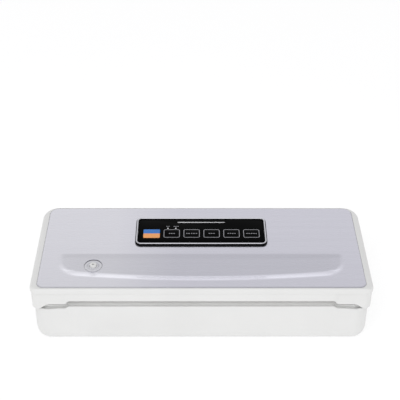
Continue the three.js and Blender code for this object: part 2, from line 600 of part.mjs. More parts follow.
// ---------------------------------------------------------------- lid liner and seals
const UPPER = { w: 300, front: -38, rear: -12, r: 3, coverT: 2.5, spoutTop: 64 };
const UPPER_GROOVE_Z = LINER_Z + 1.5;
const STRIP_TOP = LINER_Z + 1.6;
const STRIP_BOTTOM = tapeZ + TAPE_T + 0.2;
const makeLiner = () => {
  const width = SKIRT_W - 2 * WALL - 0.8;
  const sheet = slab(roundRect(width, -64.5, 55, { front: 1, rear: 12 }), LINER_Z, LINER_Z + LINER_T);
  // The front strip lies higher, level with the raised front edge of the lid.
  const apron = slab(
    roundRect(width, SKIRT_FRONT + WALL + 0.4, -61, { front: 6, rear: 1 }),
    LINER_Z + LINER_T - 0.3,
    LINER_Z + LINER_T + 2.5,
  );
  const screwHoles = screwPlaces.flatMap(([, sx, sy]) => [
    rodZ(2.8, LINER_Z - 1, LINER_Z + 1.7, sx * LID_BOSS.x, sy * LID_BOSS.y, 10),
    rodZ(1.6, LINER_Z, LINER_Z + 5, sx * LID_BOSS.x, sy * LID_BOSS.y, 10),
  ]);
  return cut(
    join(sheet, apron),
    slab(roundRect(UPPER.w, UPPER.front, UPPER.rear, UPPER.r), LINER_Z - 1, LINER_Z + LINER_T + 1),
    gasketRing(LINER_Z - 1, UPPER_GROOVE_Z, GAP),
    box(-SEAL_W / 2 - GAP, SEAL_W / 2 + GAP, SEAL_Y - 4.3, SEAL_Y + 4.3, LINER_Z - 1, STRIP_TOP + GAP),
    ...screwHoles,
  );
};
put(lid, 'lid_liner', makeLiner(), WHITE);

// A flat cover that closes the liner's window from above; the hose port opens into its spout.
const COVER_Z = LINER_Z + LINER_T + GAP;
put(lid, 'chamber_cover', cut(
  join(
    slab(roundRect(UPPER.w + 4, UPPER.front - 2, UPPER.rear + 2, UPPER.r + 2), COVER_Z, COVER_Z + UPPER.coverT),
    rodZ(PORT.noseR + 2, COVER_Z + 1, UPPER.spoutTop, PORT.x, PORT.y),
  ),
  rodZ(PORT.noseR - 1, COVER_Z - 1, UPPER.spoutTop + 1, PORT.x, PORT.y),
), WHITE);
put(lid, 'upper_gasket', gasketRing(MEET_Z + GAP / 2, UPPER_GROOVE_Z - GAP), FOAM);
put(lid, 'pressure_strip',
  box(-SEAL_W / 2, SEAL_W / 2, SEAL_Y - 4, SEAL_Y + 4, STRIP_BOTTOM, STRIP_TOP), SILICONE);

const makeHook = () => {
  const pad = box(-HOOK_X - 4, -HOOK_X + 4, CATCH_Y - 7, CATCH_Y + 7, LINER_Z - 2, LINER_Z - GAP);
  const arm = box(-HOOK_X - 1.2, -HOOK_X + 1.2, CATCH_Y - 4, CATCH_Y + 4, 38, LINER_Z - 1);
  const barb = box(-HOOK_X - 1, -HOOK_X + 3.2, CATCH_Y - 4, CATCH_Y + 4, 38, 40.5);
  return join(pad, arm, barb);
};
put(lid, 'lid_hook_left', makeHook(), WHITE);
put(lid, 'lid_hook_right', mirrorX(makeHook()), WHITE);
screwPlaces.forEach(([name, sx, sy]) => {
  put(lid, `lid_screw_${name}`,
    join(
      rodZ(2.5, LINER_Z + 0.2, LINER_Z + 1.4, sx * LID_BOSS.x, sy * LID_BOSS.y, 10),
      rodZ(1.2, LINER_Z + 1, LINER_Z + 11, sx * LID_BOSS.x, sy * LID_BOSS.y, 10),
    ), STEEL);
});

// ---------------------------------------------------------------- top plate with its pressed dish
const dishShape = (inset) => {
  const { halfW, rear, frontMid, arcR, cornerR } = DISH;
  const half = halfW - inset;
  const r = cornerR;
  const arcY = (x) => frontMid + inset + arcR - Math.sqrt(arcR ** 2 - x ** 2);
  const shape = new THREE.Shape();
  const edge = half - r;
  const across = Array.from({ length: 13 }, (_, i) => {
    const x = -edge + (2 * edge * i) / 12;
    return new THREE.Vector2(x, arcY(x));
  });
  shape.setFromPoints(across);
  shape.quadraticCurveTo(half, arcY(edge) + 1.5, half, arcY(edge) + r + 2);
  shape.lineTo(half, rear - inset - r);
  shape.quadraticCurveTo(half, rear - inset, half - r, rear - inset);
  shape.lineTo(-half + r, rear - inset);
  shape.quadraticCurveTo(-half, rear - inset, -half, rear - inset - r);
  shape.lineTo(-half, arcY(edge) + r + 2);
  shape.quadraticCurveTo(-half, arcY(edge) + 1.5, -edge, arcY(edge));
  return shape;
};

const PLATE_HOLE = 2.2; // the hole for the panel is this much smaller all round than the ring
const makePlate = () => {
  const sheet = slab(roundRect(PLATE_W, PLATE_FRONT, PLATE_REAR, PLATE_R), -PLATE_T, 0);
  const pan = slab(dishShape(1), -DISH.depth - PLATE_T, -0.2, 4);
  const hole = slab(
    roundRect(PANEL.w - 2 * PLATE_HOLE, PANEL.front + PLATE_HOLE, PANEL.rear - PLATE_HOLE, 5),
    -5, 5);
  return cut(
    join(sheet, pan),
    slab(dishShape(1 + PLATE_T), -DISH.depth, 1, 4),
    hole,
    rodZ(PORT.noseR + GAP, -10, 1, PORT.x, PORT.y),
  );
};
put(top, 'top_plate', makePlate(), STEEL);

// ---------------------------------------------------------------- accessory port
const dishFloor = -DISH.depth;
put(top, 'port_ring',
  cut(
    join(
      rodZ(PORT.flangeR, dishFloor + GAP, dishFloor + 0.9, PORT.x, PORT.y, CIRCLE, PORT.flangeR - 0.5),
      rodZ(PORT.ringR, dishFloor + 0.5, dishFloor + 2.6, PORT.x, PORT.y, CIRCLE, PORT.ringR - 0.4),
    ),
    rodZ(PORT.noseR + GAP, dishFloor - 1, dishFloor + 4, PORT.x, PORT.y),
  ), CLEAR);
put(top, 'port_nozzle',
  cut(
    rodZ(PORT.noseR, dishFloor - 9.6, dishFloor + 2, PORT.x, PORT.y, CIRCLE, PORT.noseR - 0.3),
    rodZ(PORT.boreR, dishFloor - 12, dishFloor + 3, PORT.x, PORT.y, 12),
  ), WHITE);

// ---------------------------------------------------------------- control panel
const panelRect = (inset, r) =>
  [PANEL.w - 2 * inset, PANEL.front + inset, PANEL.rear - inset, r];
put(top, 'panel_ring',
  join(
    ring(panelRect(0, PANEL.r), panelRect(PANEL.ring, 4.6), GAP, PANEL.proud - 0.9),
    ring(panelRect(0.8, PANEL.r - 0.8), panelRect(PANEL.ring, 4.6), PANEL.proud - 1, PANEL.proud),
  ), CHROME);

const keyRect = (grow) =>
  [KEY.w + 2 * grow, KEY.y - KEY.d / 2 - grow, KEY.y + KEY.d / 2 + grow, KEY.r + grow];
const barRect = (grow) =>
  [BAR.w + 2 * grow, BAR.y - BAR.d / 2 - grow, BAR.y + BAR.d / 2 + grow, 0.7 + grow / 3];
const makePanel = () => {
  const body = slab(roundRect(...panelRect(PANEL.ring + GAP, 4.3)), -2, PANEL_TOP);
  const windows = KEY_XS.map((x) =>
    slab(roundRect(...keyRect(GAP)), -3, 3, 2).translate(x, 0, 0));
  const barSlot = slab(roundRect(...barRect(GAP)), -3, 3);
  const ledHoles = LEDS.xs.map((x) => rodZ(LEDS.r + 0.2, -3, 3, x, LEDS.y, 8));
  return cut(body, ...windows, barSlot, ...ledHoles);
};
put(top, 'control_panel', makePanel(), GLOSS_BLACK);
KEY_XS.forEach((x, i) => {
  const cap = join(
    slab(roundRect(...keyRect(0)), -3.4, PANEL_TOP + 0.3, 2),
    slab(roundRect(...keyRect(0.9)), -3.6, -2.4, 2),
  );
  put(top, `key_${i + 1}`, cap.translate(x, 0, 0), i === 0 ? BLUE : GLOSS_BLACK);
});
put(top, 'light_bar',
  slab(roundRect(...barRect(0)), -4.6, PANEL_TOP + 0.2), CLEAR);
LEDS.xs.forEach((x, i) => {
  put(top, `status_led_${i + 1}`, rodZ(LEDS.r, -4.6, PANEL_TOP + 0.2, x, LEDS.y, 8), CLEAR);
});
const BOARD_TOP = -6.6;
const makeControlBoard = () => {
  const sheet = box(-72, 72, 6, 50, BOARD_TOP - 1.6, BOARD_TOP);
  const switches = KEY_XS.map((x) =>
    box(x - 3, x + 3, KEY.y - 3, KEY.y + 3, BOARD_TOP - 0.5, BOARD_TOP + 2));
  const connector = box(-10, 10, 38, 44, BOARD_TOP - 5, BOARD_TOP - 1);
  return join(sheet, connector, ...switches);
};
put(top, 'control_board', makeControlBoard(), BOARD);

export default machine;
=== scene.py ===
import json
import math

import bmesh
import bpy
from mathutils import Matrix, Vector


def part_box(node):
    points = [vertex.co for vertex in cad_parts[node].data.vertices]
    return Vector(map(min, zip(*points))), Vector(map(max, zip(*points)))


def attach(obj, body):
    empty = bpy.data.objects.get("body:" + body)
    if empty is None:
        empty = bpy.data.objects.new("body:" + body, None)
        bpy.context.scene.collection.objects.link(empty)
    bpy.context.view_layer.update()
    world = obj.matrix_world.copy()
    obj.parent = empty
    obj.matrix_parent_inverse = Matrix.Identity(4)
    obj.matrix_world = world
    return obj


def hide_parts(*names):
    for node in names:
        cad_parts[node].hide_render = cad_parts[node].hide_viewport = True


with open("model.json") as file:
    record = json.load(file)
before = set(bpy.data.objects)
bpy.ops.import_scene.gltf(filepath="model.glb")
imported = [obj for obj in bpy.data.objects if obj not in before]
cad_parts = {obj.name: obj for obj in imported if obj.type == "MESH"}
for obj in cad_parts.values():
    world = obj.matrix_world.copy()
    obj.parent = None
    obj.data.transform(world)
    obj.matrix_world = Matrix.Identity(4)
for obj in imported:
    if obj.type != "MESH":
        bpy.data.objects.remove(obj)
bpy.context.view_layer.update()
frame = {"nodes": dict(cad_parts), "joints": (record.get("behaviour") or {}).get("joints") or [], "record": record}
MM = 0.001


# ---- places, from the frame
def box_mm(node):
    lo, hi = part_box(node)
    return lo / MM, hi / MM


def centre_mm(node):
    lo, hi = box_mm(node)
    return ((lo.x + hi.x) / 2, (lo.y + hi.y) / 2, (lo.z + hi.z) / 2)


def axis_mm(node):
    """Where the upright axis of a round node meets z = 0."""
    x, y, _ = centre_mm(node)
    return (x, y, 0)


joints = {j["name"]: j for j in frame["joints"]}
LID_LO, LID_HI = box_mm("lid_frame")
BASE_LO, BASE_HI = box_mm("base_housing")
DECK_LO, DECK_HI = box_mm("base_deck")
LINER_LO, LINER_HI = box_mm("lid_liner")
PLATE_LO, PLATE_HI = box_mm("top_plate")
RING_LO, RING_HI = box_mm("panel_ring")
GASKET_LO, GASKET_HI = box_mm("lower_gasket")
UPPER_LO, UPPER_HI = box_mm("upper_gasket")
HINGE_Y, HINGE_Z = (v / MM for v in joints["lid_hinge"]["pos_m"][1:])
PRESS = Vector(joints["key_1_press"]["axis"])
SLOPE = -PRESS.y / PRESS.z  # rise of the top towards the rear
TOP_Z = PLATE_HI.z - SLOPE * PLATE_HI.y  # height of the top plate's face at y = 0
DECK_Z = GASKET_LO.z + 0.9
LINER_Z = LINER_LO.z

# ---- shape details
SHOULDER_Z = BASE_HI.z - 5.9
BAG_HALF_W = 147
GRIP_HALF_W = 176
GRIP_Z = 52.8
BAG_Z = 58.3
LIP_Z = 69
LIP_R = (9, 17)
PLATE_W = PLATE_HI.x - 1.7
PLATE_R = (7.5, 10.5)
SHEET_T = 0.8
SKIRT_INSET = 1.0
SKIRT_REAR_INSET = 2.5
WALL = 2.5
BASE_FRONT = BASE_LO.y + 0.8
BASE_R = (18, 14)
BOTTOM_INSET = 5.4
BOTTOM_ROUND = 12
KNUCKLE_R = 7
HINGE_X = 130
LUG_W = 16
TROUGH_W = 300
TROUGH_FRONT = -38
TROUGH_REAR = -12
TROUGH_R = 3
TROUGH_FLOOR = 42
UPPER_CEILING = 62
LINER_T = 3
LINER_FRONT = -64.5
GASKET_BAND = 7
GASKET_R = 17
GASKET_GAP = 0.3
HOOK_X = 171
BUTTON_Y = -30
BUTTON_Z = 30
BUTTON_REACH = 8  # from the cap's face back to its slider
INLET_PIN_X = 4.4
DISH = {"half_w": 161, "rear": -13.5, "front": -60.5, "arc": 1300, "corner": 21, "depth": 3.1, "wall": 12,
        "ramp": 36, "rear_step": 0.12}
CORNERS = ("front_left", "front_right", "rear_left", "rear_right")
SIDES = ((-1, "left"), (1, "right"))


def smooth(a, b, x):
    t = min(1.0, max(0.0, (x - a) / (b - a)))
    return t * t * (3 - 2 * t)


def top_at(y, above=0.0):
    """Height of a point above the sloped top plane."""
    return TOP_Z + SLOPE * y + above


# ---- mesh tools
def shade(mesh, sharp):
    """Smooth shading, except across edges sharper than an angle in degrees."""
    mesh.shade_smooth()
    mesh.set_sharp_from_angle(angle=math.radians(sharp))


def new_object(name, bm, sharp=35, weld=True):
    if weld:
        bmesh.ops.remove_doubles(bm, verts=bm.verts, dist=1e-7)
    bmesh.ops.recalc_face_normals(bm, faces=bm.faces)
    mesh = bpy.data.meshes.new(name)
    bm.to_mesh(mesh)
    bm.free()
    shade(mesh, sharp)
    obj = bpy.data.objects.new(name, mesh)
    bpy.context.scene.collection.objects.link(obj)
    return obj


def rounded_rect(w, front, rear, r, long_n, short_n, arc_n, stops=()):
    """Points of a rounded rectangle with outward normals, counter-clockwise from the front left.

    r is one corner radius, or the front one and the rear one."""
    rf, rr = r if isinstance(r, tuple) else (r, r)
    ys = [front + rf + (rear - front - rf - rr) * i / short_n for i in range(short_n + 1)]

    def across(radius):
        half = w / 2 - radius
        even = {-half + 2 * half * i / long_n for i in range(long_n + 1)}
        return sorted(even | {s for s in stops if abs(s) < half})

    def arc(cx, cy, radius, start):
        angles = [start + math.pi / 2 * i / arc_n for i in range(1, arc_n)]
        normals = [(math.cos(a), math.sin(a)) for a in angles]
        return [(cx + radius * nx, cy + radius * ny, nx, ny) for nx, ny in normals]

    points = [(x, front, 0, -1) for x in across(rf)]
    points += arc(w / 2 - rf, front + rf, rf, -math.pi / 2)
    points += [(w / 2, y, 1, 0) for y in ys]
    points += arc(w / 2 - rr, rear - rr, rr, 0)
    points += [(x, rear, 0, 1) for x in reversed(across(rr))]
    points += arc(-w / 2 + rr, rear - rr, rr, math.pi / 2)
    points += [(-w / 2, y, -1, 0) for y in reversed(ys)]
    points += arc(-w / 2 + rf, front + rf, rf, math.pi)
    return points


def loft(name, rings, sharp=35, loop=False):
    """A skin through rings of points in millimetres: a loop joins its ends, and any other is capped."""
    bm = bmesh.new()
    rows = [[bm.verts.new(Vector(p) * MM) for p in ring] for ring in rings]
    count = len(rows[0])
    for low, high in zip(rows, rows[1:] + rows[:1] if loop else rows[1:]):
        for i in range(count):
            k = (i + 1) % count
            bm.faces.new((low[i], low[k], high[k], high[i]))
    if not loop:
        bm.faces.new(list(reversed(rows[0])))
        bm.faces.new(rows[-1])
    return new_object(name, bm, sharp)


def offset_rings(outline, profile):
    """One ring for each (side inset, front and rear inset, height) of the profile."""
    return [[(x - nx * ix, y - ny * iy, z) for x, y, nx, ny in outline] for ix, iy, z in profile]


def even_rings(outline, profile):
    """One ring for each (inset, height) of the profile, drawn in equally all round."""
    return offset_rings(outline, [(inset, inset, z) for inset, z in profile])


def shifted(outline, dx):
    return [(x + dx, y, nx, ny) for x, y, nx, ny in outline]


def fillet(inset, z, r, start, end, steps=4):
    """Profile points of an arc about (inset, z); angle 0 points outwards and 90 degrees up."""
    result = []
    for i in range(steps + 1):
        a = math.radians(start + (end - start) * i / steps)
        result.append((inset - r * math.cos(a), z + r * math.sin(a)))
    return result


def lathe(name, profile, centre, axis="Z", steps=48, sharp=35, close=False):
    """Turns (radius, height) points about an axis; close joins the profile's last point to its first."""
    turns = [2 * math.pi * i / steps for i in range(steps)]
    rings = []
    for radius, height in profile:
        ring = [(radius * math.cos(a), radius * math.sin(a), height) for a in turns]
        if axis == "X":
            ring = [(height, u, v) for u, v, _ in ring]
        rings.append([Vector(p) + Vector(centre) for p in ring])
    return loft(name, rings, sharp, close)


def tilt_to_top(obj):
    """Shears a piece drawn on a level top, z = 0 on the plate's face, onto the sloped top."""
    for v in obj.data.vertices:
        v.co.z += top_at(v.co.y / MM) * MM
    return obj


def slab(name, outline, profile, sharp=35):
    """A closed slab: profile entries (inset, z) run from the bottom cap to the top cap."""
    return loft(name, even_rings(outline, profile), sharp)


def hoop(name, outline, profile, sharp=35):
    """A ring-shaped piece: the closed profile of (inset, z) entries runs round the outline."""
    return loft(name, even_rings(outline, profile), sharp, loop=True)


def rounded_slab(name, w, front, rear, r, z0, z1, edge=0.4, bottom_edge=0.2, cx=0, density=(16, 6, 5)):
    """A slab with rounded corners and edges, centred on x = cx."""
    profile = fillet(bottom_edge, z0 + bottom_edge, bottom_edge, -90, 0, 3)
    profile += fillet(edge, z1 - edge, edge, 0, 90, 4)
    return slab(name, shifted(rounded_rect(w, front, rear, r, *density), cx), profile)


def block(name, x0, x1, y0, y1, z0, z1, edge=0.4):
    r = min(1.2, (x1 - x0) / 3, (y1 - y0) / 3)
    return rounded_slab(name, x1 - x0, y0, y1, r, z0, z1, edge, edge, (x0 + x1) / 2, (8, 4, 4))


def sheet(bm, rows, face_up=True):
    """Faces over a grid of points given in millimetres."""
    grid = [[bm.verts.new(Vector(p) * MM) for p in row] for row in rows]
    for a, b in zip(grid, grid[1:]):
        for i in range(len(a) - 1):
            face = (a[i], a[i + 1], b[i + 1], b[i])
            bm.faces.new(face if face_up else face[::-1])


def barrel(name, x0, bore, rim, r, length):
    """A hinge barrel with chamfered ends, which starts at x0 and runs along the hinge's axis."""
    end = [(bore, 0.3), (bore + 0.3, 0), (rim, 0), (r, 0.5)]
    profile = end + [(radius, length - x) for radius, x in reversed(end)]
    return lathe(name, profile, (x0, HINGE_Y, HINGE_Z), "X", 40, close=True)


def remap(obj, move):
    """Puts each point of a piece, in millimetres, where move(x, y, z) says."""
    for v in obj.data.vertices:
        v.co = Vector(move(*(v.co / MM))) * MM
    return obj


def boolean(obj, operation, others):
    """Applies the operation with each of the other objects, and removes them."""
    for other in others:
        mod = obj.modifiers.new("boolean", "BOOLEAN")
        mod.operation = operation
        mod.solver = "EXACT"
        mod.object = other
    bpy.context.view_layer.update()
    mesh = bpy.data.meshes.new_from_object(obj.evaluated_get(bpy.context.evaluated_depsgraph_get()))
    obj.modifiers.clear()
    obj.data = mesh
    shade(mesh, 35)
    for other in others:
        bpy.data.objects.remove(other)


def cut(obj, *cutters):
    boolean(obj, "DIFFERENCE", cutters)


def fuse(obj, *others):
    boolean(obj, "UNION", others)


# ---- materials
def linear(*srgb):
    return [c / 12.92 if c <= 0.04045 else ((c + 0.055) / 1.055) ** 2.4 for c in srgb] + [1.0]


def scale_colour(colour, factor):
    return [min(1.0, c * factor) for c in colour[:3]] + [1.0]


def set_inputs(node, **values):
    for key, value in values.items():
        node.inputs[key.replace("_", " ")].default_value = value


class Nodes:
    """A material's node tree with short calls for the nodes that these looks use."""

    def __init__(self, name):
        self.material = bpy.data.materials.new(name)
        self.material.use_nodes = True
        self.tree = self.material.node_tree
        self.shader = self.tree.nodes["Principled BSDF"]
        self.coords = self.tree.nodes.new("ShaderNodeTexCoord").outputs["Object"]

    def link(self, a, b):
        self.tree.links.new(a, b)

    def node(self, kind, vector=None, **values):
        node = self.tree.nodes.new("ShaderNode" + kind)
        set_inputs(node, **values)
        if vector is not None:
            self.link(vector, node.inputs["Vector"])
        return node

    def noise(self, scale, detail=3.0, rough=0.55, stretch=(1, 1, 1)):
        """Noise whose scale is in features per metre."""
        mapped = self.node("Mapping", self.coords, Scale=stretch).outputs["Vector"]
        return self.node("TexNoise", mapped, Scale=scale, Detail=detail, Roughness=rough).outputs["Fac"]

    def wave(self, scale, direction, distortion=0.0):
        node = self.node("TexWave", self.coords, Scale=scale, Distortion=distortion)
        node.bands_direction = direction
        return node.outputs["Fac"]

    def ramp(self, value, low, high, out_low, out_high):
        node = self.node("MapRange", From_Min=low, From_Max=high, To_Min=out_low, To_Max=out_high)
        self.link(value, node.inputs["Value"])
        return node.outputs["Result"]

    def mix(self, factor, a, b):
        node = self.node("Mix")
        node.data_type = "RGBA"
        self.link(factor, node.inputs["Factor"])
        for key, colour in (("A", a), ("B", b)):
            socket = next(s for s in node.inputs if s.name == key and s.type == "RGBA")
            if isinstance(colour, (list, tuple)):
                socket.default_value = colour
            else:
                self.link(colour, socket)
        return next(s for s in node.outputs if s.type == "RGBA")

    def position(self, axis):
        return self.node("SeparateXYZ", self.coords).outputs[axis]

    def clouds(self, scale, detail, low=0.3, high=0.7):
        """Noise spread over the whole range from 0 to 1."""
        return self.ramp(self.noise(scale, detail), low, high, 0, 1)

    def colour(self, value):
        self.link(value, self.shader.inputs["Base Color"])

    def tones(self, share, colour, dark, pale=1):
        """Base colour between two scaled tones of one colour."""
        self.colour(self.mix(share, scale_colour(colour, dark), scale_colour(colour, pale)))

    def roughness(self, value):
        self.link(value, self.shader.inputs["Roughness"])

    def gloss(self, scale, detail, smoothest, roughest, low=0.3):
        """Roughness that wanders between two values."""
        self.roughness(self.ramp(self.noise(scale, detail), low, 0.7, smoothest, roughest))

    def bump(self, *layers):
        """layers are (height, strength, distance in mm)."""
        previous = None
        for height, strength, distance in layers:
            node = self.node("Bump", Strength=strength, Distance=distance * MM)
            self.link(height, node.inputs["Height"])
            if previous:
                self.link(previous, node.inputs["Normal"])
            previous = node.outputs["Normal"]
        self.link(previous, self.shader.inputs["Normal"])

    def set(self, **values):
        set_inputs(self.shader, **values)


def moulded(name, colour, rough, grain=0.25, depth=0.02, spread=0.03):
    """Moulded plastic: a fine spark-eroded grain, faint cloudiness and uneven gloss."""
    n = Nodes(name)
    n.tones(n.clouds(14, 2, 0.35, 0.65), colour, 1 - spread)
    n.gloss(60, 3, rough - 0.04, rough + 0.05)
    n.bump((n.noise(1000 / grain, 2), 0.35, depth))
    n.set(IOR=1.47)
    return n.material


def gloss(name, colour, rough, level):
    """Polished plastic: almost smooth, with a very slight orange peel."""
    n = Nodes(name)
    n.tones(n.clouds(30, 2), colour, 0.85)
    n.gloss(90, 4, rough * 0.8, rough * 1.3, 0.35)
    n.bump((n.noise(260, 1), 0.05, 0.02))
    n.set(Specular_IOR_Level=level)
    return n.material


def brushed(name, colour, rough, aniso, streak, painted_highlight_left):
    """Metal brushed along X: long thin streaks in colour, gloss and height, and a painted highlight that pales the
    left third.
    """
    n = Nodes(name)
    fine = n.noise(2600, 3, 0.6, (0.006, 1, 1))
    wide = n.noise(330, 3, 0.6, (0.012, 1, 1))
    dark, pale = scale_colour(colour, 1 - streak), scale_colour(colour, 1 + streak / 2)
    tone = n.mix(n.ramp(wide, 0.3, 0.7, 0, 1), dark, pale)
    tone = n.mix(n.ramp(fine, 0.35, 0.65, 0, 0.5), tone, dark)
    # Painted highlight: the base colour is mixed towards white over the plate's left third, where its reflection
    # is brighter.
    n.colour(n.mix(n.ramp(n.position("X"), -0.1, -0.03, painted_highlight_left, 0), tone, (1, 1, 1, 1)))
    n.roughness(n.ramp(fine, 0.3, 0.7, rough - 0.05, rough + 0.07))
    n.bump((fine, 0.12, 0.01), (wide, 0.08, 0.03))
    n.set(Metallic=1.0, Anisotropic=aniso)
    n.link(n.node("CombineXYZ", X=1.0).outputs["Vector"], n.shader.inputs["Tangent"])
    return n.material


def metal(name, colour, rough, spread=0.12):
    """Plain turned or plated metal with faint handling marks."""
    n = Nodes(name)
    n.tones(n.clouds(120, 4), colour, 1 - spread)
    n.gloss(400, 3, rough * 0.8, rough * 1.3)
    n.bump((n.noise(1500, 2), 0.1, 0.01))
    n.set(Metallic=1.0)
    return n.material


def foam_look(name, colour):
    n = Nodes(name)
    cells = n.node("TexVoronoi", n.coords, Scale=1600).outputs["Distance"]
    n.tones(n.ramp(cells, 0.1, 0.6, 0, 1), colour, 0.55, 1.3)
    n.gloss(300, 2, 0.86, 0.97)
    n.bump((cells, 0.6, 0.25), (n.noise(220, 3), 0.3, 0.3))
    n.set(Specular_IOR_Level=0.2)
    return n.material


def soft_rubber(name, colour, rough):
    n = Nodes(name)
    n.tones(n.clouds(80, 4), colour, 0.85, 1.1)
    n.gloss(500, 3, rough - 0.06, rough + 0.08)
    n.bump((n.noise(2600, 2), 0.3, 0.03))
    n.set(Specular_IOR_Level=0.35)
    return n.material


def woven_tape(name, colour):
    """Coated glass cloth: a fine plain weave under a brown non-stick film."""
    n = Nodes(name)
    weave = n.mix(n.wave(900, "X"), scale_colour(colour, 0.8), scale_colour(colour, 1.15))
    n.colour(n.mix(n.ramp(n.wave(900, "Y"), 0, 1, 0, 0.5), weave, scale_colour(colour, 0.7)))
    n.gloss(200, 3, 0.38, 0.52)
    n.bump((n.wave(900, "X"), 0.3, 0.05), (n.wave(900, "Y"), 0.3, 0.05))
    return n.material


def board_look(name, colour):
    """Solder mask with copper tracks just visible under it."""
    n = Nodes(name)
    tracks = n.ramp(n.wave(110, "X", 6.0), 0.46, 0.54, 0, 1)
    n.tones(tracks, colour, 1, 1.7)
    n.gloss(200, 2, 0.3, 0.42)
    n.bump((tracks, 0.2, 0.03))
    return n.material


def frosted(name, colour, rough, through):
    n = Nodes(name)
    n.tones(n.clouds(200, 3), colour, 0.94)
    n.gloss(600, 2, rough - 0.05, rough + 0.08)
    n.bump((n.noise(900, 2), 0.1, 0.02))
    n.set(Transmission_Weight=through, IOR=1.45)
    return n.material


def light_table(name, colour, glow):
    """A pale table top lit evenly from below."""
    n = Nodes(name)
    n.tones(n.clouds(3, 2, 0.35, 0.65), colour, 0.99)
    n.gloss(40, 2, 0.85, 0.95)
    n.set(Emission_Color=(1.0, 1.0, 1.0, 1.0), Emission_Strength=glow, Specular_IOR_Level=0.1)
    return n.material


def two_tone(name, rear, front, split_y):
    """Gloss key face, one colour behind the split and another in front of it."""
    n = Nodes(name)
    behind = n.ramp(n.position("Y"), (split_y - 0.05) * MM, (split_y + 0.05) * MM, 0, 1)
    dusty = n.clouds(220, 3)
    front_tone, rear_tone = (n.mix(dusty, scale_colour(c, 0.93), c) for c in (front, rear))
    n.colour(n.mix(behind, front_tone, rear_tone))
    n.gloss(500, 2, 0.2, 0.3)
    n.bump((n.noise(800, 2), 0.05, 0.02))
    return n.material


# Each look is a material and the slot that it fills.
WHITE = moulded("white_moulded", linear(0.874, 0.874, 0.87), 0.36), "white_plastic"
# A paler copy of the white plastic for the parts under the lid and in the base: painted light that lifts the shade
# in the bag slot.
WHITE_INNER_LIGHTENED = moulded("white_moulded_inner_lightened", linear(0.915, 0.915, 0.91), 0.5, 0.4, 0.03), "white_plastic"
# The last argument is the strength of the plate's painted highlight on its left third.
PLATE = brushed("brushed_top", linear(0.845, 0.842, 0.88), 0.24, 0.5, 0.03, 0.28), "brushed_plate"
STEEL = metal("plain_steel", linear(0.72, 0.72, 0.73), 0.3), "steel"
CHROME = metal("chrome_trim", linear(0.82, 0.82, 0.84), 0.14, 0.03), "chrome_trim"
PANEL_BLACK = gloss("panel_black", linear(0.02, 0.02, 0.022), 0.1, 0.02), "gloss_black"
# Gloss black for the panel surround: a painted reflection standing in for the dark outer slope of the chrome ring.
TRIM_PAINTED_DARK = gloss("trim_painted_dark", linear(0.05, 0.05, 0.055), 0.2, 0.06), "gloss_black"
PRINT = gloss("printed_grey", linear(0.62, 0.62, 0.64), 0.3, 0.3), "chrome_trim"
BLACK = moulded("black_moulded", linear(0.13, 0.13, 0.135), 0.5, 0.3, 0.03, 0.2), "black_plastic"
FOAM = foam_look("foam", linear(0.24, 0.24, 0.25)), "foam"
SILICONE = soft_rubber("silicone", linear(0.68, 0.25, 0.18), 0.5), "silicone"
TAPE = woven_tape("coated_cloth", linear(0.56, 0.42, 0.28)), "coated_tape"
RUBBER = soft_rubber("rubber", linear(0.16, 0.16, 0.165), 0.75), "rubber"
COPPER = metal("copper", linear(0.78, 0.48, 0.30), 0.3), "copper"
BOARD = board_look("circuit_board", linear(0.10, 0.33, 0.20)), "circuit_board"
CLEAR = frosted("clear_plastic", linear(0.90, 0.91, 0.93), 0.25, 0.4), "clear_plastic"
PORT_GREY = moulded("port_plastic", linear(0.80, 0.80, 0.82), 0.3), "clear_plastic"
LENS = frosted("light_bar", linear(0.93, 0.93, 0.94), 0.2, 0.1), "clear_plastic"
FLOOR = light_table("floor", linear(0.7, 0.7, 0.7), 0.62)


def place(obj, body, look, *replaced):
    material, slot = look
    obj.data.materials.clear()
    obj.data.materials.append(material)
    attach(obj, body)
    if replaced:
        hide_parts(*replaced)


# ---- lid frame
def middle(x):
    """1 over the bag slot at the front, falling to 0 at the corners."""
    return 1 - smooth(BAG_HALF_W - 0.5, BAG_HALF_W + 5.6, abs(x))


NOTCH_HALF = LUG_W / 2 + 0.6
NOTCH_EDGES = [t * (NOTCH_HALF + e) for t in (-1, 1) for e in (0.02, -0.02)]
NOTCH_STOPS = [s * HINGE_X + edge for s in (-1, 1) for edge in NOTCH_EDGES]
SLOT_STOPS = [BAG_HALF_W + d for d in (-0.5, 0.4, 1.4, 2.4, 3.4, 4.5, 5.6)]
GRIP_STOPS = [GRIP_HALF_W + d for d in (-5, -3, -1, 1, 3, 4.5)]
FRONT_STOPS = [s * x for s in (-1, 1) for x in SLOT_STOPS + GRIP_STOPS]


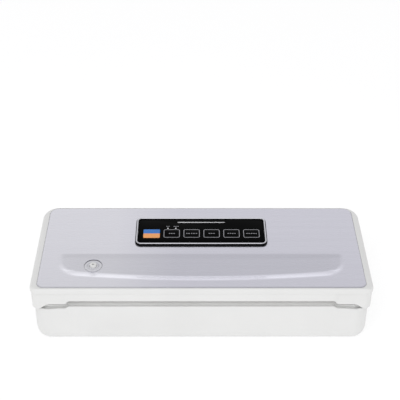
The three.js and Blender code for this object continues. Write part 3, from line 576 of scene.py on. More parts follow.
def lid_profile():
    """Closed profile of (side inset, front inset, rear inset, kind, height): rim, outside, inside, ledge.

    A rim's height is an angle, and a low point's is a share of the skirt's height."""
    entries = [(gap, gap, gap, "plate", z) for gap, z in ((0.4, -0.3), (0.5, -0.04), (0.7, 0))]
    entries += [(None, None, None, "rim", angle) for angle in range(90, -1, -15)]
    entries += [(i, i, i, "z", z) for i, z in fillet(0.6, LIP_Z + 0.6, 0.6, 0, -90, 4)]

    def skirt(inset, kind, z):
        return (SKIRT_INSET + inset, SKIRT_INSET + inset, SKIRT_REAR_INSET + inset, kind, z)

    entries += [skirt(-0.2, "skirt", LIP_Z), skirt(0, "skirt", LIP_Z - 0.5)]
    entries += [skirt(0, "low", 1 - k / 9) for k in range(1, 9)]
    entries += [skirt(i, "edge", z) for i, z in fillet(0.9, 0.9, 0.9, 0, -90, 4)]
    entries += [skirt(i, "edge", z) for i, z in fillet(WALL - 0.4, 0.4, 0.4, -90, -180, 2)]
    entries += [skirt(WALL, "low", 1 - k / 9) for k in range(8, 0, -1)]
    inner = SKIRT_INSET + WALL
    entries += [(inner, inner, inner + 1.5, "top", -3.6), (15.5, 9.5, 9.5, "top", -3.6)]
    entries += [(15.5, 9.5, 9.5, "top", -1.1), (0.4, 0.4, 0.4, "plate", -1.1)]
    return entries


def beside_plate(x, y, nx, ny, gap):
    """The point of the plate's own outline, grown by gap, that faces a point of the lid's outline."""
    first, last = LID_LO.y + LIP_R[0], LID_HI.y - LIP_R[1]
    begin, end = PLATE_LO.y + PLATE_R[0], PLATE_HI.y - PLATE_R[1]
    if ny == 0:
        return (nx * (PLATE_W + gap), begin + (y - first) / (last - first) * (end - begin))
    r_lid, r_plate, core_y = (LIP_R[0], PLATE_R[0], begin) if ny < 0 else (LIP_R[1], PLATE_R[1], end)
    core_x = (x - nx * r_lid) / (LID_HI.x - r_lid) * (PLATE_W - r_plate)
    return (core_x + nx * (r_plate + gap), core_y + ny * (r_plate + gap))


def lid_point(x, y, nx, ny, entry):
    side, front, rear, kind, height = entry
    if kind == "rim":
        a = math.radians(height)
        r_side, r_end = 4.2, 1.3
        ix, iy = r_side * (1 - math.cos(a)), r_end * (1 - math.cos(a))
        drop = (r_side * nx * nx + r_end * ny * ny) * (1 - math.sin(a))
        px, py = x - nx * ix, y - ny * iy
        return (px, py, top_at(py, -drop))
    if kind == "plate":
        px, py = beside_plate(x, y, nx, ny, side)
        return (px, py, top_at(py, height))
    iy = front if ny < 0 else rear
    px, py = x - nx * side, y - ny * iy
    if kind == "top":
        return (px, py, top_at(py, height))
    if kind == "z":
        return (px, py, height)
    at_front = smooth(0.7, 0.98, -ny)
    mid = middle(x) * at_front
    grip = at_front * (1 - smooth(GRIP_HALF_W - 6, GRIP_HALF_W + 6, abs(x)))
    heel = smooth(HINGE_Y - 9.5, HINGE_Y - 6.5, y)
    low = LID_LO.z + (GRIP_Z - LID_LO.z) * grip + (BAG_Z - GRIP_Z) * mid
    low += (HINGE_Z - KNUCKLE_R + 0.1 - low) * heel
    z = {"skirt": height, "low": low + (LIP_Z - 0.5 - low) * height, "edge": low + height}[kind]
    outer = side < SKIRT_INSET + WALL - 0.5
    if outer and at_front:  # nearly flush with the lip over the bag slot, set back beside it
        py -= ny * (0.8 - mid * (1.15 + 0.4 * smooth(LIP_Z - 1, low + 2, z)))
    if ny > 0.5 and abs(abs(x) - HINGE_X) < NOTCH_HALF:
        z = max(z, HINGE_Z + 7.5)
    return curl(px, py, z, KNUCKLE_R if outer else KNUCKLE_R - WALL)


def curl(x, y, z, radius):
    """Keeps the lid's rear lower edge inside a round of that radius about the hinge."""
    dy, dz = y - HINGE_Y, HINGE_Z - z
    if dy > 0 and dz > 0 and math.hypot(dy, dz) > radius:
        if dz < radius:
            y = HINGE_Y + math.sqrt(radius * radius - dz * dz)
        else:
            y, z = HINGE_Y, HINGE_Z - radius
    return (x, y, z)


def make_lid_frame():
    outline = rounded_rect(2 * LID_HI.x, LID_LO.y, LID_HI.y, LIP_R, 76, 28, 14, NOTCH_STOPS + FRONT_STOPS)
    rings = [[lid_point(*p, entry) for p in outline] for entry in lid_profile()]
    place(loft("lid_shell", rings, 40, loop=True), "lid", WHITE, "lid_frame")
    length = 4
    for side, name in SIDES:
        for k, x0 in enumerate((side * HINGE_X - NOTCH_HALF - length, side * HINGE_X + NOTCH_HALF)):
            knuckle = f"lid_knuckle_{name[0]}{k + 1}"
            place(barrel(knuckle, x0, 2.4, KNUCKLE_R - 0.6, KNUCKLE_R - 0.05, length), "lid", WHITE)


# ---- top plate and its dish
def dish_depth(x, y):
    """Depth of the pressed dish: a soft rear edge, a floor that falls to the front and a long front wall."""
    r = DISH["corner"]
    front = DISH["front"] + DISH["arc"] - math.sqrt(DISH["arc"] ** 2 - x * x)
    from_rear = DISH["rear"] - y
    if from_rear <= 0:
        return 0.0
    step = DISH["rear_step"]
    floor = step * smooth(0, 7, from_rear) + (1 - step) * min(1.0, from_rear / DISH["ramp"])
    qx, qy = abs(x) - (DISH["half_w"] - r), front + r - y
    corner = math.hypot(max(qx, 0), max(qy, 0))
    inside = r - corner - min(max(qx, qy), 0)
    at_end = smooth(0.5, 1.0, qx / corner) if qx > 0 else 0
    floor *= 0.8 + 0.2 * smooth(3, 30, DISH["half_w"] - abs(x))
    t = min(1.0, max(0.0, inside / (DISH["wall"] * (1 - 0.6 * at_end))))
    soft = 0.16  # share of the wall that is rounded at its top and at its foot
    if t < soft:
        wall = t * t / (2 * soft)
    elif t > 1 - soft:
        wall = 1 - soft - (1 - t) ** 2 / (2 * soft)
    else:
        wall = t - soft / 2
    return DISH["depth"] * floor * wall / (1 - soft)


def make_top_plate():
    """The sheet with its dish pressed in, and openings for the control panel and the port."""
    w, (r_front, r_rear) = PLATE_W, PLATE_R
    front, rear = PLATE_LO.y + 0.5, PLATE_HI.y
    bm = bmesh.new()

    ys = [front]
    while ys[-1] < rear - 0.3:  # close rows in the dish's walls and the plate's corners
        y = ys[-1]
        in_wall = DISH["front"] - 3 < y < DISH["front"] + 22 or DISH["rear"] - 8 < y < DISH["rear"] + 3
        in_corner = y < front + r_front or y > rear - r_rear
        ys.append(min(y + (0.8 if in_wall or in_corner else 2.5), rear))

    def half_width(y):
        r = r_front if y < 0 else r_rear
        d = max(front + r - y, y - (rear - r), 0)
        return w - r + math.sqrt(max(0.0, r * r - d * d))

    columns = 236
    rows = []
    for y in ys:
        half = half_width(y)
        row = []
        for i in range(columns + 1):
            x = (-1 + 2 * i / columns) * half
            drop = 0.25 * (1 - smooth(0, 0.8, min(half - abs(x), y - front, rear - y)))
            row.append((x, y, top_at(y, -dish_depth(x, y) - drop)))
        rows.append(row)
    sheet(bm, rows)
    # The sheet's thickness: the same skin again below, joined round the edge.
    edges = [e for e in bm.edges if e.is_boundary]
    copy = bmesh.ops.duplicate(bm, geom=list(bm.faces) + list(bm.verts) + list(bm.edges))
    moved = [g for g in copy["geom"] if isinstance(g, bmesh.types.BMVert)]
    bmesh.ops.translate(bm, vec=(0, 0, -SHEET_T * MM), verts=moved)
    bmesh.ops.bridge_loops(bm, edges=edges + [copy["edge_map"][e] for e in edges])
    plate = new_object("brushed_plate", bm, 40, weld=False)
    hole = slab("hole", rounded_rect(RING_HI.x * 2 - 4.4, RING_LO.y + 2.2, RING_HI.y - 2.2, 5, 4, 2, 6),
                [(0, -6), (0, 6)])
    tilt_to_top(hole)
    port = lathe("port_hole", [(10.25, -8), (10.25, 8)], port_centre(0), steps=96)
    cut(plate, hole, port)
    place(plate, "lid", PLATE, "top_plate")


def port_centre(above):
    x, y, _ = centre_mm("port_ring")
    return (x, y, top_at(y, above))


def make_port():
    """Level round seat let into the dish, with a shallow ring round the raised hose spigot."""
    centre = port_centre(-2.2)
    seat = [(4.3, -1.4), (9.6, -1.4), (9.95, -1.1), (9.95, 0.15), (9.7, 0.35), (7.5, 0.4)]
    seat += [(7.1, 0.25), (6.9, -0.2), (6.6, -0.4), (6.2, -0.3), (6.0, 0.2), (5.7, 0.45)]
    seat += [(5.2, 0.45), (4.8, 0.2), (4.3, 0.2)]
    place(lathe("port_flange", seat, centre, steps=72, close=True), "lid", PORT_GREY, "port_ring")
    tube = [(1.5, -10.2), (3.6, -10.2), (3.95, -9.8), (3.95, 1.7), (3.75, 2.3), (3.3, 2.6)]
    tube += [(2.2, 2.7), (1.7, 2.55), (1.5, 2.1)]
    place(lathe("port_spigot", tube, centre, close=True), "lid", WHITE, "port_nozzle")


# ---- control panel
PANEL_TOP = 1.5


def panel_outline(inset, r, density=(40, 12, 8)):
    return rounded_rect(2 * (RING_HI.x - inset), RING_LO.y + inset, RING_HI.y - inset, r, *density)


def make_panel_ring():
    outline = panel_outline(0, 7)
    under = [(0.15, 0.3), (0, 0.5), (0, 1.6), (0.3, 2.05), (0.85, 2.3), (2.7, 2.3), (2.9, 2.1), (2.9, 0.3)]
    # The surround's outer slope is gloss black, a painted dark reflection where the chrome ring's outer slope
    # shows dark.
    place(tilt_to_top(hoop("panel_surround", outline, under)), "lid", TRIM_PAINTED_DARK)
    crown = [(0.95, 2.28), (0.95, 2.4)] + fillet(1.3, 2.45, 0.35, 0, 90, 4)
    crown += fillet(2.1, 2.4, 0.4, 90, 180, 4) + [(2.5, 2.28)]
    place(tilt_to_top(hoop("panel_chrome", outline, crown)), "lid", CHROME, "panel_ring")


def key_box(i):
    """The cap's box, a little inside the CAD key's."""
    lo, hi = box_mm(f"key_{i}")
    return lo + Vector((0.9, 0.9, 0)), hi - Vector((0.9, 0.9, 0))


def window(lo, hi, gap, r):
    """Cutter right through the panel, with a gap all round a box."""
    return rounded_slab("window", hi.x - lo.x + 2 * gap, lo.y - gap, hi.y + gap, r, -6, 6, 0.01, 0.01,
                        (lo.x + hi.x) / 2, (2, 2, 5))


def make_panel():
    profile = [(0.3, -2), (0, -1.8)] + fillet(0.35, PANEL_TOP - 0.35, 0.35, 0, 90, 3)
    face = slab("panel_face", panel_outline(3.2, 4.3, (30, 8, 6)), profile)
    holes = [window(*key_box(i), 0.3, 2.7) for i in range(1, 7)]
    holes.append(window(*box_mm("light_bar"), 0.2, 0.7))
    for node in ("status_led_1", "status_led_2"):
        lo, hi = box_mm(node)
        holes.append(window(lo, hi, 0.15, (hi.x - lo.x) / 2))
    cut(face, *holes)
    place(tilt_to_top(face), "lid", PANEL_BLACK, "control_panel")


def make_mark(name, x, y, shapes, top, body):
    """A printed legend made of small raised bars: shapes are (dx, width, depth)."""
    bm = bmesh.new()
    for dx, w, d in shapes:
        bar = rounded_slab(name, w, y - d / 2, y + d / 2, min(w, d) * 0.3, top - 0.05, top + 0.06,
                           0.03, 0.01, x + dx, (2, 2, 3))
        bm.from_mesh(bar.data)
        bpy.data.objects.remove(bar)
    place(tilt_to_top(new_object(name, bm, weld=False)), body, PRINT)


# Generic legends for the plain keys and the two lights: rows of short bars, each (dx, width, depth).
LEGENDS = {
    "key_2": [(-2.6, 1.5, 1.0), (0, 2.4, 1.0), (2.8, 1.8, 1.0)],
    "key_3": [(-5.6, 1.8, 1.0), (-3.0, 2.2, 1.0), (0, 1.0, 1.6), (2.6, 2.4, 1.0), (5.6, 1.8, 1.0)],
    "key_4": [(-2.4, 2.2, 1.0), (0.2, 1.8, 1.0), (2.8, 1.6, 1.0)],
    "key_5": [(-3.8, 2.0, 1.0), (-1.2, 1.8, 1.0), (1.4, 2.0, 1.0), (4.0, 1.6, 1.0)],
    "key_6": [(-5.2, 1.8, 1.0), (-2.6, 2.0, 1.0), (0.2, 2.0, 1.0), (3.0, 2.2, 1.0), (5.6, 1.4, 1.0)],
    "status_led_1": [(-1.6, 1.6, 0.9), (0.6, 1.9, 0.9)],
    "status_led_2": [(-2.2, 1.7, 0.9), (0, 1.8, 0.9), (2.3, 1.8, 0.9)],
}


def make_keys():
    top = PANEL_TOP + 0.3
    border_profile = [(0.0, -0.1), (0.0, 0.03), (0.1, 0.07), (0.6, 0.07), (0.7, 0.03), (0.7, -0.1)]
    for i in range(1, 7):
        node = f"key_{i}"
        lo, hi = key_box(i)
        x, y, w = (lo.x + hi.x) / 2, (lo.y + hi.y) / 2, hi.x - lo.x
        corner = 1.2 if i == 1 else 2.4
        cap = rounded_slab(f"key_cap_{i}", w, lo.y, hi.y, corner, -3.4, top, 0.35, 0.2, x, (10, 8, 5))
        tilt_to_top(cap)
        if i == 1:
            look = two_tone("two_tone_key", linear(0.15, 0.44, 0.76), linear(0.93, 0.63, 0.38), y)
            place(cap, node, (look, "two_tone_key"), node)
            continue
        place(cap, node, PANEL_BLACK, node)
        outline = shifted(rounded_rect(w - 0.5, lo.y + 0.25, hi.y - 0.25, 2.3, 8, 6, 6), x)
        border = hoop(f"key_border_{i}", outline, [(inset, top + rise) for inset, rise in border_profile])
        place(tilt_to_top(border), node, PRINT)
        make_mark(f"key_legend_{i}", x, y, LEGENDS[node], top, node)


def make_lights():
    """The long tapered light bar, and the two round status lights with a legend behind each."""
    lo, hi = box_mm("light_bar")
    y, half = (lo.y + hi.y) / 2, (hi.x - lo.x) / 2
    steps = 40
    xs = [-half + 2 * half * k / steps for k in range(steps + 1)]
    outline = [(x, 0.5 * min(1.0, (1 - abs(x) / half) * 9 + 0.22)) for x in xs]
    loop = [(x, y - t, 0, -1) for x, t in outline] + [(x, y + t, 0, 1) for x, t in reversed(outline)]
    bar = slab("light_bar_lens", loop, [(0.1, -2), (0.0, 1.5), (0.1, 1.68), (0.3, 1.78)], 60)
    place(tilt_to_top(bar), "lid", LENS, "light_bar")
    for i in (1, 2):
        node = f"status_led_{i}"
        lo, hi = box_mm(node)
        x, y, _ = centre_mm(node)
        r = (hi.x - lo.x) / 2
        dome = [(r, -2.5)] + [(r * math.cos(a), 1.35 + 0.4 * math.sin(a)) for a in (0, 0.4, 0.8, 1.2, 1.5)]
        place(tilt_to_top(lathe(f"status_lens_{i}", dome, (x, y, 0), steps=24)), "lid", LENS, node)
        make_mark(f"status_legend_{i}", x + 0.3, y + 3.6, LEGENDS[node], PANEL_TOP, "lid")


# ---- lid underside
def make_gasket(name, node, body, crown_up):
    """Foam ring with a soft crown, which faces up in the base and down in the lid."""
    lo, hi = box_mm(node)
    band, r, z = GASKET_BAND, 0.9, hi.z - 0.9
    profile = [(0, lo.z)] + fillet(r, z, r, 0, 90) + fillet(band - r, z, r, 90, 180) + [(band, lo.z)]
    if not crown_up:
        profile = [(inset, lo.z + hi.z - height) for inset, height in profile]
    outline = rounded_rect(hi.x - lo.x, lo.y, hi.y, GASKET_R, 60, 8, 10)
    place(hoop(name, outline, profile, 50), body, FOAM, node)


FACE_DENSITY = (72, 20, 10)


def pan_rings(end, up):
    """Outside of a trough's pan: its end, and the start of its side. up is 1 in the lid, -1 in the base."""
    outline = rounded_rect(TROUGH_W + 4, TROUGH_FRONT - 2, TROUGH_REAR + 2, 5, *FACE_DENSITY)
    return outline, even_rings(outline, [(3, end + 2 * up), (0.6, end + 1.2 * up), (0, end - up)])


def face_rings(z, lo, hi, groove, end, up):
    """From the sealing face at z through the gasket's groove, and then the rounded trough to its end."""
    gap, band = GASKET_GAP, GASKET_BAND
    outer = rounded_rect(2 * (hi.x + gap), lo.y - gap, hi.y + gap, GASKET_R, *FACE_DENSITY)
    inner = rounded_rect(2 * (hi.x - band - gap), lo.y + band + gap, hi.y - band - gap, 10, *FACE_DENSITY)
    trough = rounded_rect(TROUGH_W, TROUGH_FRONT, TROUGH_REAR, TROUGH_R, *FACE_DENSITY)
    rings = even_rings(outer, [(-0.3, z), (0, z + 0.3 * up), (0, z + groove * up)])
    rings += even_rings(inner, [(0, z + groove * up), (0, z + 0.3 * up), (0.3, z)])
    side = [(-0.9, z), (-0.25, z + 0.25 * up), (0, z + 0.9 * up), (0, end - TROUGH_R * up)]
    return rings + even_rings(trough, side + fillet(TROUGH_R, end - TROUGH_R * up, TROUGH_R, 0, 90 * up, 5))


def make_liner():
    """Lid liner: flat sealing face with the gasket groove and the rounded upper chamber."""
    z, back = LINER_Z, LINER_Z + LINER_T
    outer = rounded_rect(2 * LINER_HI.x, LINER_FRONT, LINER_HI.y, (1.2, 12), *FACE_DENSITY)
    # Back of the sheet, then round the edge to the sealing face, the groove and the chamber.
    pan, rings = pan_rings(UPPER_CEILING, 1)
    rings += even_rings(pan, [(0, back + 0.6), (-0.6, back)])
    rings += even_rings(outer, [(0.6, back), (0, back - 0.5), (0, z + 0.7), (0.25, z + 0.15), (0.8, z)])
    rings += face_rings(z, UPPER_LO, UPPER_HI, 1.5, UPPER_CEILING, 1)
    liner = loft("lid_underside", rings, 40)
    apron = rounded_slab("apron", 2 * LINER_HI.x, LINER_LO.y, -61, (6, 1), back - 0.3, back + 2.5,
                         0.4, 0.4, 0, (60, 4, 6))
    fuse(liner, apron)
    lo, hi = box_mm("pressure_strip")
    holes = [rounded_slab("strip_slot", hi.x - lo.x + 0.8, lo.y - 0.4, hi.y + 0.4, 1, z - 2, hi.z + 0.3,
                          0.05, 0.05)]
    for corner in CORNERS:
        axis = axis_mm(f"lid_screw_{corner}")
        holes.append(lathe("screw_hole", [(2.9, z - 1), (2.9, z + 1.7)], axis, steps=32))
        holes.append(lathe("screw_bore", [(1.6, z + 1), (1.6, z + 5)], axis, steps=24))
    cut(liner, *holes)
    place(liner, "lid", WHITE_INNER_LIGHTENED, "lid_liner", "chamber_cover")


def make_pressure_strip():
    lo, hi = box_mm("pressure_strip")
    outline = rounded_rect(2 * hi.x, lo.y, hi.y, 1.2, 60, 6, 4)
    profile = [(0.3, hi.z), (0, hi.z - 0.3), (0, LINER_Z), (0.2, LINER_Z - 0.5), (0.9, LINER_Z - 1.0)]
    profile += [(1.3, lo.z + 0.5), (1.7, lo.z + 0.12), (2.3, lo.z)]
    place(slab("silicone_strip", outline, profile, 30), "lid", SILICONE, "pressure_strip")


def make_hooks():
    for side, name in SIDES:
        node = f"lid_hook_{name}"
        lo, hi = box_mm(node)
        x, y = side * HOOK_X, (lo.y + hi.y) / 2
        pad = block(f"hook_{name}", x - 4, x + 4, y - 7, y + 7, hi.z - 1.7, hi.z, 0.4)
        arm = block("arm", x - 1.2, x + 1.2, y - 4, y + 4, lo.z + 0.4, hi.z - 0.8, 0.3)
        x0, x1 = sorted((x + side * 1.2, x - side * 3.2))
        barb = block("barb", x0, x1, y - 4, y + 4, lo.z, lo.z + 2.5, 0.5)
        gusset = block("gusset", x - 1.1, x + 1.1, y - 5.5, y + 5.5, hi.z - 5, hi.z - 1, 0.5)
        fuse(pad, arm, barb, gusset)
        place(pad, "lid", WHITE_INNER_LIGHTENED, node)


def screw(name, node, body, head_r, head_h, shank_r):
    """A cross-head screw with its head at the bottom."""
    lo, hi = box_mm(node)
    x, y, _ = centre_mm(node)
    z0 = lo.z
    profile = [(head_r - 0.5, z0), (head_r - 0.15, z0 + 0.15), (head_r, z0 + 0.5), (head_r, z0 + head_h),
               (shank_r + 0.2, z0 + head_h + 0.2)]
    z = z0 + head_h + 0.6
    while z < hi.z - 1.2:
        profile += [(shank_r - 0.25, z), (shank_r, z + 0.35)]
        z += 0.9
    profile += [(shank_r - 0.3, hi.z - 0.8), (0.3, hi.z)]
    piece = lathe(name, profile, (x, y, 0), steps=28, sharp=30)
    long, short = head_r * 0.62, 0.35
    cut(piece, *(block("slot", x - dx, x + dx, y - dy, y + dy, z0 - 1, z0 + 0.9, 0.05)
                 for dx, dy in ((long, short), (short, long))))
    place(piece, body, STEEL, node)


# ---- base housing
def base_point(x, y, nx, ny, inset, z, outer):
    """A point of the base wall: the front rim is highest over the bag slot, and a step lower beside it."""
    px, py = x - nx * inset, y - ny * inset
    at_front = smooth(0.5, 0.98, -ny)
    mid = middle(x) * at_front
    low = at_front * (1 - smooth(158, 174, abs(x)))
    rim = 1.4 + 1.2 * low + (BASE_HI.z - SHOULDER_Z - 2.6) * mid
    z += rim * smooth(SHOULDER_Z - 9, SHOULDER_Z - 1.5, z)
    if outer:
        soft = 1 - smooth(BAG_HALF_W - 3, BAG_HALF_W + 2, abs(x))
        py += ny * 0.8 * soft * at_front * smooth(14, 30, z)
    return (px, py, z)


def make_housing():
    """The white tub, with openings for the buttons, feet, screws and inlet."""
    outline = rounded_rect(2 * BASE_HI.x, BASE_FRONT, BASE_HI.y, BASE_R, 76, 24, 16, FRONT_STOPS)
    bottom, top = BASE_LO.z, SHOULDER_Z
    outer_profile = fillet(0.9, top - 0.9, 0.9, 90, 0, 4)
    outer_profile += [(0.0, top - d) for d in (2, 4, 6, 8, 11, 15, 19, 24, 28)]
    for a in (math.pi / 2 * k / 11 for k in range(12)):
        outer_profile.append((BOTTOM_INSET * (1 - math.cos(a)), bottom + BOTTOM_ROUND * (1 - math.sin(a))))
    inner_profile = [(9, bottom + WALL), (WALL + 3, bottom + WALL + 0.8), (WALL, bottom + 7), (WALL, top - 5)]
    inner_profile += [(WALL, top - 0.4), (WALL - 0.3, top)]
    rings = [[base_point(*p, inset, z, False) for p in outline] for inset, z in inner_profile]
    rings += [[base_point(*p, inset, z, True) for p in outline] for inset, z in outer_profile]
    housing = loft("base_shell", rings, 40)
    cutters = []
    for side, _ in SIDES:
        hole = rounded_slab("button_hole", 26.6, 0, 13.6, 2.6, -6, 6, 0.05, 0.05, 0, (4, 2, 6))
        x = side * BASE_HI.x
        cutters.append(remap(hole, lambda u, t, depth: (x + depth, BUTTON_Y + u, BUTTON_Z - 6.8 + t)))
    for corner in CORNERS:
        recess, well = [(9.3, bottom - 1), (9.3, bottom + 1)], [(3.5, bottom - 1), (3.5, bottom + 4.05)]
        cutters.append(lathe("foot_recess", recess, axis_mm(f"foot_{corner}"), steps=48))
        cutters.append(lathe("screw_well", well, axis_mm(f"base_screw_{corner}"), steps=32))
    cx, _, cz = centre_mm("mains_inlet")
    cutters.append(block("inlet_hole", cx - 12.3, cx + 12.3, 60, 80, cz - 8.8, cz + 8.8, 0.05))
    cut(housing, *cutters)
    place(housing, "base", WHITE, "base_housing")


def make_buttons():
    """Push caps: the visible face is rounded and gently hollowed, with the slider and tooth behind it."""
    outline = rounded_rect(26, -6.5, 6.5, 2.4, 16, 8, 6)
    profile = [(0.4, 0), (0, 0.4), (0, 6.6)] + fillet(1.0, 7.0, 1.0, 0, 90, 4)[1:]
    profile += [(1.6, 7.97), (2.1, 7.85)]
    for side, name in SIDES:
        node = f"release_button_{name}"
        lo, hi = box_mm(node)
        face, inner = (abs(v) for v in ((lo.x, hi.x) if side < 0 else (hi.x, lo.x)))
        back = face - BUTTON_REACH
        cap = slab(f"release_cap_{name}", outline, profile, 40)
        remap(cap, lambda u, t, out: (side * (back + out), BUTTON_Y + u, BUTTON_Z + t))
        if side < 0:  # its points were mirrored
            cap.data.flip_normals()
        parts = []
        for x0, x1, y0, y1, z0, z1 in (
            (back, BASE_HI.x - 3.1, BUTTON_Y - 15, BUTTON_Y + 15, 21.6, 38.4),
            (inner, face - 7, BUTTON_Y - 4, -18, 31, 34),
            (inner, inner + 3, -26, -18, 31.2, hi.z),
            (inner, inner + 4.4, -26, -18, hi.z - 3, hi.z),
        ):
            parts.append(block("part", *sorted((side * x0, side * x1)), y0, y1, z0, z1, 0.3))
        fuse(cap, *parts)
        place(cap, f"release_{name}", WHITE, node)


def make_feet():
    for corner in CORNERS:
        node = f"foot_{corner}"
        lo, hi = box_mm(node)
        r, z1 = (hi.x - lo.x) / 2, hi.z
        profile = [(5.2, 0.35), (5.6, 0.0), (r - 1.9, 0.0), (r - 1.2, 0.25), (r - 0.9, 0.7)]
        profile += [(r - 0.15, 2.6), (r, z1 - 0.2), (r - 0.2, z1)]
        place(lathe(f"rubber_{node}", profile, axis_mm(node), steps=48), "base", RUBBER, node)


def make_inlet():
    """Two-pole appliance inlet: a flanged block with a figure-of-eight cavity and two pins."""
    node = "mains_inlet"
    lo, _ = box_mm(node)
    cx, _, cz = centre_mm(node)
    rear = BASE_HI.y

    def stand(obj):
        return remap(obj, lambda u, t, out: (cx - u, out, cz + t))

    flange = rounded_slab("socket", 28, -10.5, 10.5, 3, rear + 0.3, rear + 1.85, 0.6, 0.1, 0, (12, 8, 6))
    body = rounded_slab("body", 24, -8.5, 8.5, 2, lo.y, rear + 0.6, 0.3, 0.3, 0, (8, 6, 5))
    fuse(flange, body)
    pin_places = (-INLET_PIN_X, INLET_PIN_X)
    # The cavity is two round wells joined by a web.
    wells = [lathe("well", [(5.6, lo.y + 3), (5.6, rear + 4)], (dx, 0, 0), steps=40) for dx in pin_places]
    web = rounded_slab("web", 9, -4.6, 4.6, 1, lo.y + 3, rear + 4, 0.05, 0.05, 0, (4, 4, 4))
    cut(flange, *wells, web)
    place(stand(flange), "base", BLACK, node)
    profile = [(1.15, lo.y + 2), (1.15, rear - 4.4), (0.95, rear - 3.8), (0.5, rear - 3.4)]
    for k, dx in enumerate(pin_places):
        place(stand(lathe(f"inlet_pin_{k + 1}", profile, (dx, 0, 0), steps=24)), "base", STEEL)


# ---- base deck, seals and seal bar
def neck_set_back(x, y):
    """The neck stands further back under the two front corners of the lid."""
    across = smooth(BAG_HALF_W, BAG_HALF_W + 4, abs(x)) * (1 - smooth(168, 182, abs(x)))
    return 3.5 * across * (1 - smooth(-66, -56, y))


def make_deck():
    """Base deck: neck, sealing face, gasket groove and the rounded vacuum trough."""
    z, floor = DECK_Z, TROUGH_FLOOR
    outer = rounded_rect(2 * DECK_HI.x, DECK_LO.y, BASE_HI.y - 3, (16, 12), *FACE_DENSITY)
    under, ledge, foot = z - 3.2, z - 4.8, SHOULDER_Z - 4
    pan, rings = pan_rings(floor, -1)
    rings += even_rings(pan, [(0, under)])
    rings += even_rings(outer, [(2.5, under), (2, z - 4), (2, foot), (0, foot), (0, ledge)])
    neck = offset_rings(outer, [(0, 0, ledge), (0, 0, z - 1.0), (0.25, 0.6, z - 0.7), (0.9, 3.4, z)])
    rings += [[(x, y + neck_set_back(x, y), height) for x, y, height in ring] for ring in neck]
    rings += face_rings(z, GASKET_LO, GASKET_HI, 1.2, floor, -1)
    deck = loft("deck", rings, 40)
    lo, hi = box_mm("seal_bar")
    cutters = [block("bar_slot", lo.x - 0.3, hi.x + 0.3, lo.y - 0.3, hi.y + 0.3, z - 2, z + 2, 0.05)]
    for side, _ in SIDES:
        x = side * HOOK_X
        cutters.append(block("hook_slot", x - 4.5, x + 4.5, -33, -14, z - 8, z + 2, 0.05))
    cutters.append(lathe("inlet", [(4.3, floor - 4), (4.3, floor + 1)], axis_mm("trough_filter")))
    cut(deck, *cutters)
    # The deck takes the paler copy of the white plastic: painted light against the shade under the lid.
    place(deck, "base", WHITE_INNER_LIGHTENED, "base_deck")


def make_hinge_lugs():
    """The deck's two hinge lugs, each on its foot, and the pins through them."""
    for side, name in SIDES:
        x0 = side * HINGE_X - LUG_W / 2
        x1 = x0 + LUG_W
        lug = barrel(f"hinge_lug_{name}", x0, 2.3, 5.9, 6.4, LUG_W)
        foot = block("foot", x0 + 0.2, x1 - 0.2, HINGE_Y - 6.3, HINGE_Y + 3.8, DECK_Z - 1, HINGE_Z - 3)
        fuse(lug, foot)
        place(lug, "base", WHITE_INNER_LIGHTENED)
        node = f"hinge_pin_{name}"
        lo, hi = box_mm(node)
        length = hi.x - lo.x
        profile = [(1.6, 0), (2, 0.4), (2, length - 0.4), (1.6, length)]
        place(lathe(f"pin_{name}", profile, (lo.x, HINGE_Y, HINGE_Z), "X", 32), "base", STEEL, node)


def make_seal_bar():
    """The bar, and the tape over it: a thin woven sheet humped over the wire, with faint ripples."""
    lo, hi = box_mm("seal_bar")
    bar = rounded_slab("seal_bar_body", hi.x - lo.x, lo.y, hi.y, 1.2, lo.z, hi.z, 0.5, 0.2, 0, (60, 6, 4))
    place(bar, "base", BLACK, "seal_bar")
    lo, hi = box_mm("nonstick_tape")
    steps_y, steps_x = 12, 155
    bm = bmesh.new()
    for above in (False, True):
        rows = []
        for j in range(steps_y + 1):
            y = lo.y + (hi.y - lo.y) * j / steps_y
            hump = 0.16 * math.exp(-(((y - (lo.y + hi.y) / 2) / 1.7) ** 2))
            row = []
            for i in range(steps_x + 1):
                x = lo.x + (hi.x - lo.x) * i / steps_x
                ripple = 0.05 * math.sin(x * 0.21) * math.sin(y * 1.1 + x * 0.05)
                row.append((x, y, lo.z + 0.2 + hump + ripple * 0.6 if above else lo.z + 0.02))
            rows.append(row)
        sheet(bm, rows, above)
    bmesh.ops.bridge_loops(bm, edges=[e for e in bm.edges if e.is_boundary])
    place(new_object("seal_tape", bm, 60, weld=False), "base", TAPE, "nonstick_tape")


def make_filter():
    lo, hi = box_mm("trough_filter")
    x, y, _ = centre_mm("trough_filter")
    top, floor = hi.z, TROUGH_FLOOR
    profile = [(3.2, lo.z), (4, lo.z), (4, floor + 0.1), (4.4, floor + 0.3), (7, floor + 0.3), (7, top - 0.9)]
    profile += [(6.7, top - 0.3), (6.1, top), (5.4, top - 0.1), (4.6, top - 0.45), (0.6, top - 0.45)]
    profile += [(0.6, floor + 0.8), (3.2, floor + 0.4)]
    cap = lathe("inlet_filter", profile, (x, y, 0), steps=48, close=True)
    holes = []
    for ring, count in ((2.0, 6), (3.7, 12)):
        for k in range(count):
            a = 2 * math.pi * k / count
            centre = (x + ring * math.cos(a), y + ring * math.sin(a), 0)
            holes.append(lathe("hole", [(0.55, floor), (0.55, top + 1)], centre, steps=12))
    cut(cap, *holes)
    place(cap, "base", CLEAR, "trough_filter")


# ---- pieces that keep their CAD shape
INNER_LOOKS = (STEEL, BLACK, COPPER, BOARD, CLEAR, WHITE_INNER_LIGHTENED, RUBBER)
SPRUNG_OR_BENT = ("vacuum_hose", "release_spring_left", "release_spring_right")


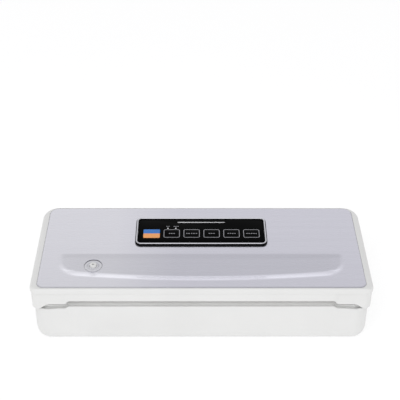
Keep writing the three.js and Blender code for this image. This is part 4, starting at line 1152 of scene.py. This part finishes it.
def dress_inner_parts():
    """Gives every carried-over CAD node its slot's material and soft edges."""
    materials = {slot: material for material, slot in INNER_LOOKS}
    slots = {s["node"]: s["material_slot"] for s in frame["record"]["subparts"]}
    for name, obj in frame["nodes"].items():
        if obj.hide_render:
            continue
        obj.data.materials.clear()
        obj.data.materials.append(materials[slots[name]])
        if name not in SPRUNG_OR_BENT:
            bevel = obj.modifiers.new("edges", "BEVEL")
            bevel.width = 0.35 * MM
            bevel.segments = 2
            bevel.limit_method = "ANGLE"
            bevel.angle_limit = math.radians(50)


# ---- stage, in metres
FLOOR_HALF = 40.0
# Sky tones by height: bright at the horizon, darker overhead.
SKY = ((0.0, 1.3), (0.14, 1.22), (0.36, 0.92), (0.62, 0.90), (0.76, 0.71), (0.93, 0.68), (1.0, 0.92))
LIGHT_PLACE = Vector((-0.3, -1.2, 1.5))
LIGHT_AIM = Vector((0, 0, 0.05))
CAMERA_PLACE = (-0.00974, -0.91022, 0.75748)
CAMERA_TURNS = ((-0.5, "Z"), (56, "X"), (0.3, "Z"))  # yaw, tilt and roll in degrees
CAMERA_LENS = 88.2


def make_floor():
    bm = bmesh.new()
    bmesh.ops.create_grid(bm, x_segments=2, y_segments=2, size=FLOOR_HALF)
    floor = new_object("floor", bm)
    floor.data.materials.append(FLOOR)


def make_sky():
    """A studio sky that fades with height, and a little to both sides."""
    world = bpy.data.worlds.new("studio")
    bpy.context.scene.world = world
    world.use_nodes = True
    tree = world.node_tree
    background = tree.nodes["Background"]
    link = tree.links.new
    split = tree.nodes.new("ShaderNodeSeparateXYZ")
    height = tree.nodes.new("ShaderNodeValToRGB")
    stops = height.color_ramp.elements
    for stop, (position, tone) in zip(stops, (SKY[0], SKY[-1])):
        stop.position = position
        stop.color = (tone, tone, tone, 1)
    for position, tone in SKY[1:-1]:
        stops.new(position).color = (tone, tone, tone * 1.01, 1)
    side = tree.nodes.new("ShaderNodeMapRange")
    set_inputs(side, From_Min=0.2, From_Max=0.75, To_Min=1.0, To_Max=0.74)
    outward = tree.nodes.new("ShaderNodeMath")
    outward.operation = "ABSOLUTE"
    link(tree.nodes.new("ShaderNodeTexCoord").outputs["Generated"], split.inputs["Vector"])
    link(split.outputs["Z"], height.inputs["Fac"])
    link(split.outputs["X"], outward.inputs[0])
    link(outward.outputs["Value"], side.inputs["Value"])
    link(height.outputs["Color"], background.inputs["Color"])
    link(side.outputs["Result"], background.inputs["Strength"])


def add_to_scene(name, data, location, rotation):
    obj = bpy.data.objects.new(name, data)
    obj.location = location
    obj.rotation_euler = rotation.to_euler()
    bpy.context.scene.collection.objects.link(obj)
    return obj


def make_light_and_camera():
    light = bpy.data.lights.new("key_light", "AREA")
    light.energy = 11
    light.size = 1.6
    add_to_scene("key_light", light, LIGHT_PLACE, (LIGHT_AIM - LIGHT_PLACE).to_track_quat("-Z", "Y"))

    camera = bpy.data.cameras.new("camera")
    camera.lens = CAMERA_LENS
    camera.sensor_width = 36
    yaw, pitch, roll = (Matrix.Rotation(math.radians(a), 3, axis) for a, axis in CAMERA_TURNS)
    bpy.context.scene.camera = add_to_scene("camera", camera, CAMERA_PLACE, yaw @ pitch @ roll)
    bpy.context.scene.view_settings.view_transform = "Standard"


make_floor()
make_sky()
make_light_and_camera()
make_lid_frame()
make_top_plate()
make_port()
make_panel_ring()
make_panel()
make_keys()
make_lights()
make_liner()
make_gasket("upper_seal", "upper_gasket", "lid", False)
make_gasket("lower_seal", "lower_gasket", "base", True)
make_pressure_strip()
make_hooks()
for corner in CORNERS:
    screw(f"liner_screw_{corner}", f"lid_screw_{corner}", "lid", 2.5, 1.0, 1.2)
    screw(f"bottom_screw_{corner}", f"base_screw_{corner}", "base", 3.2, 1.4, 1.5)
make_housing()
make_buttons()
make_feet()
make_inlet()
make_deck()
make_hinge_lugs()
make_seal_bar()
make_filter()
dress_inner_parts()
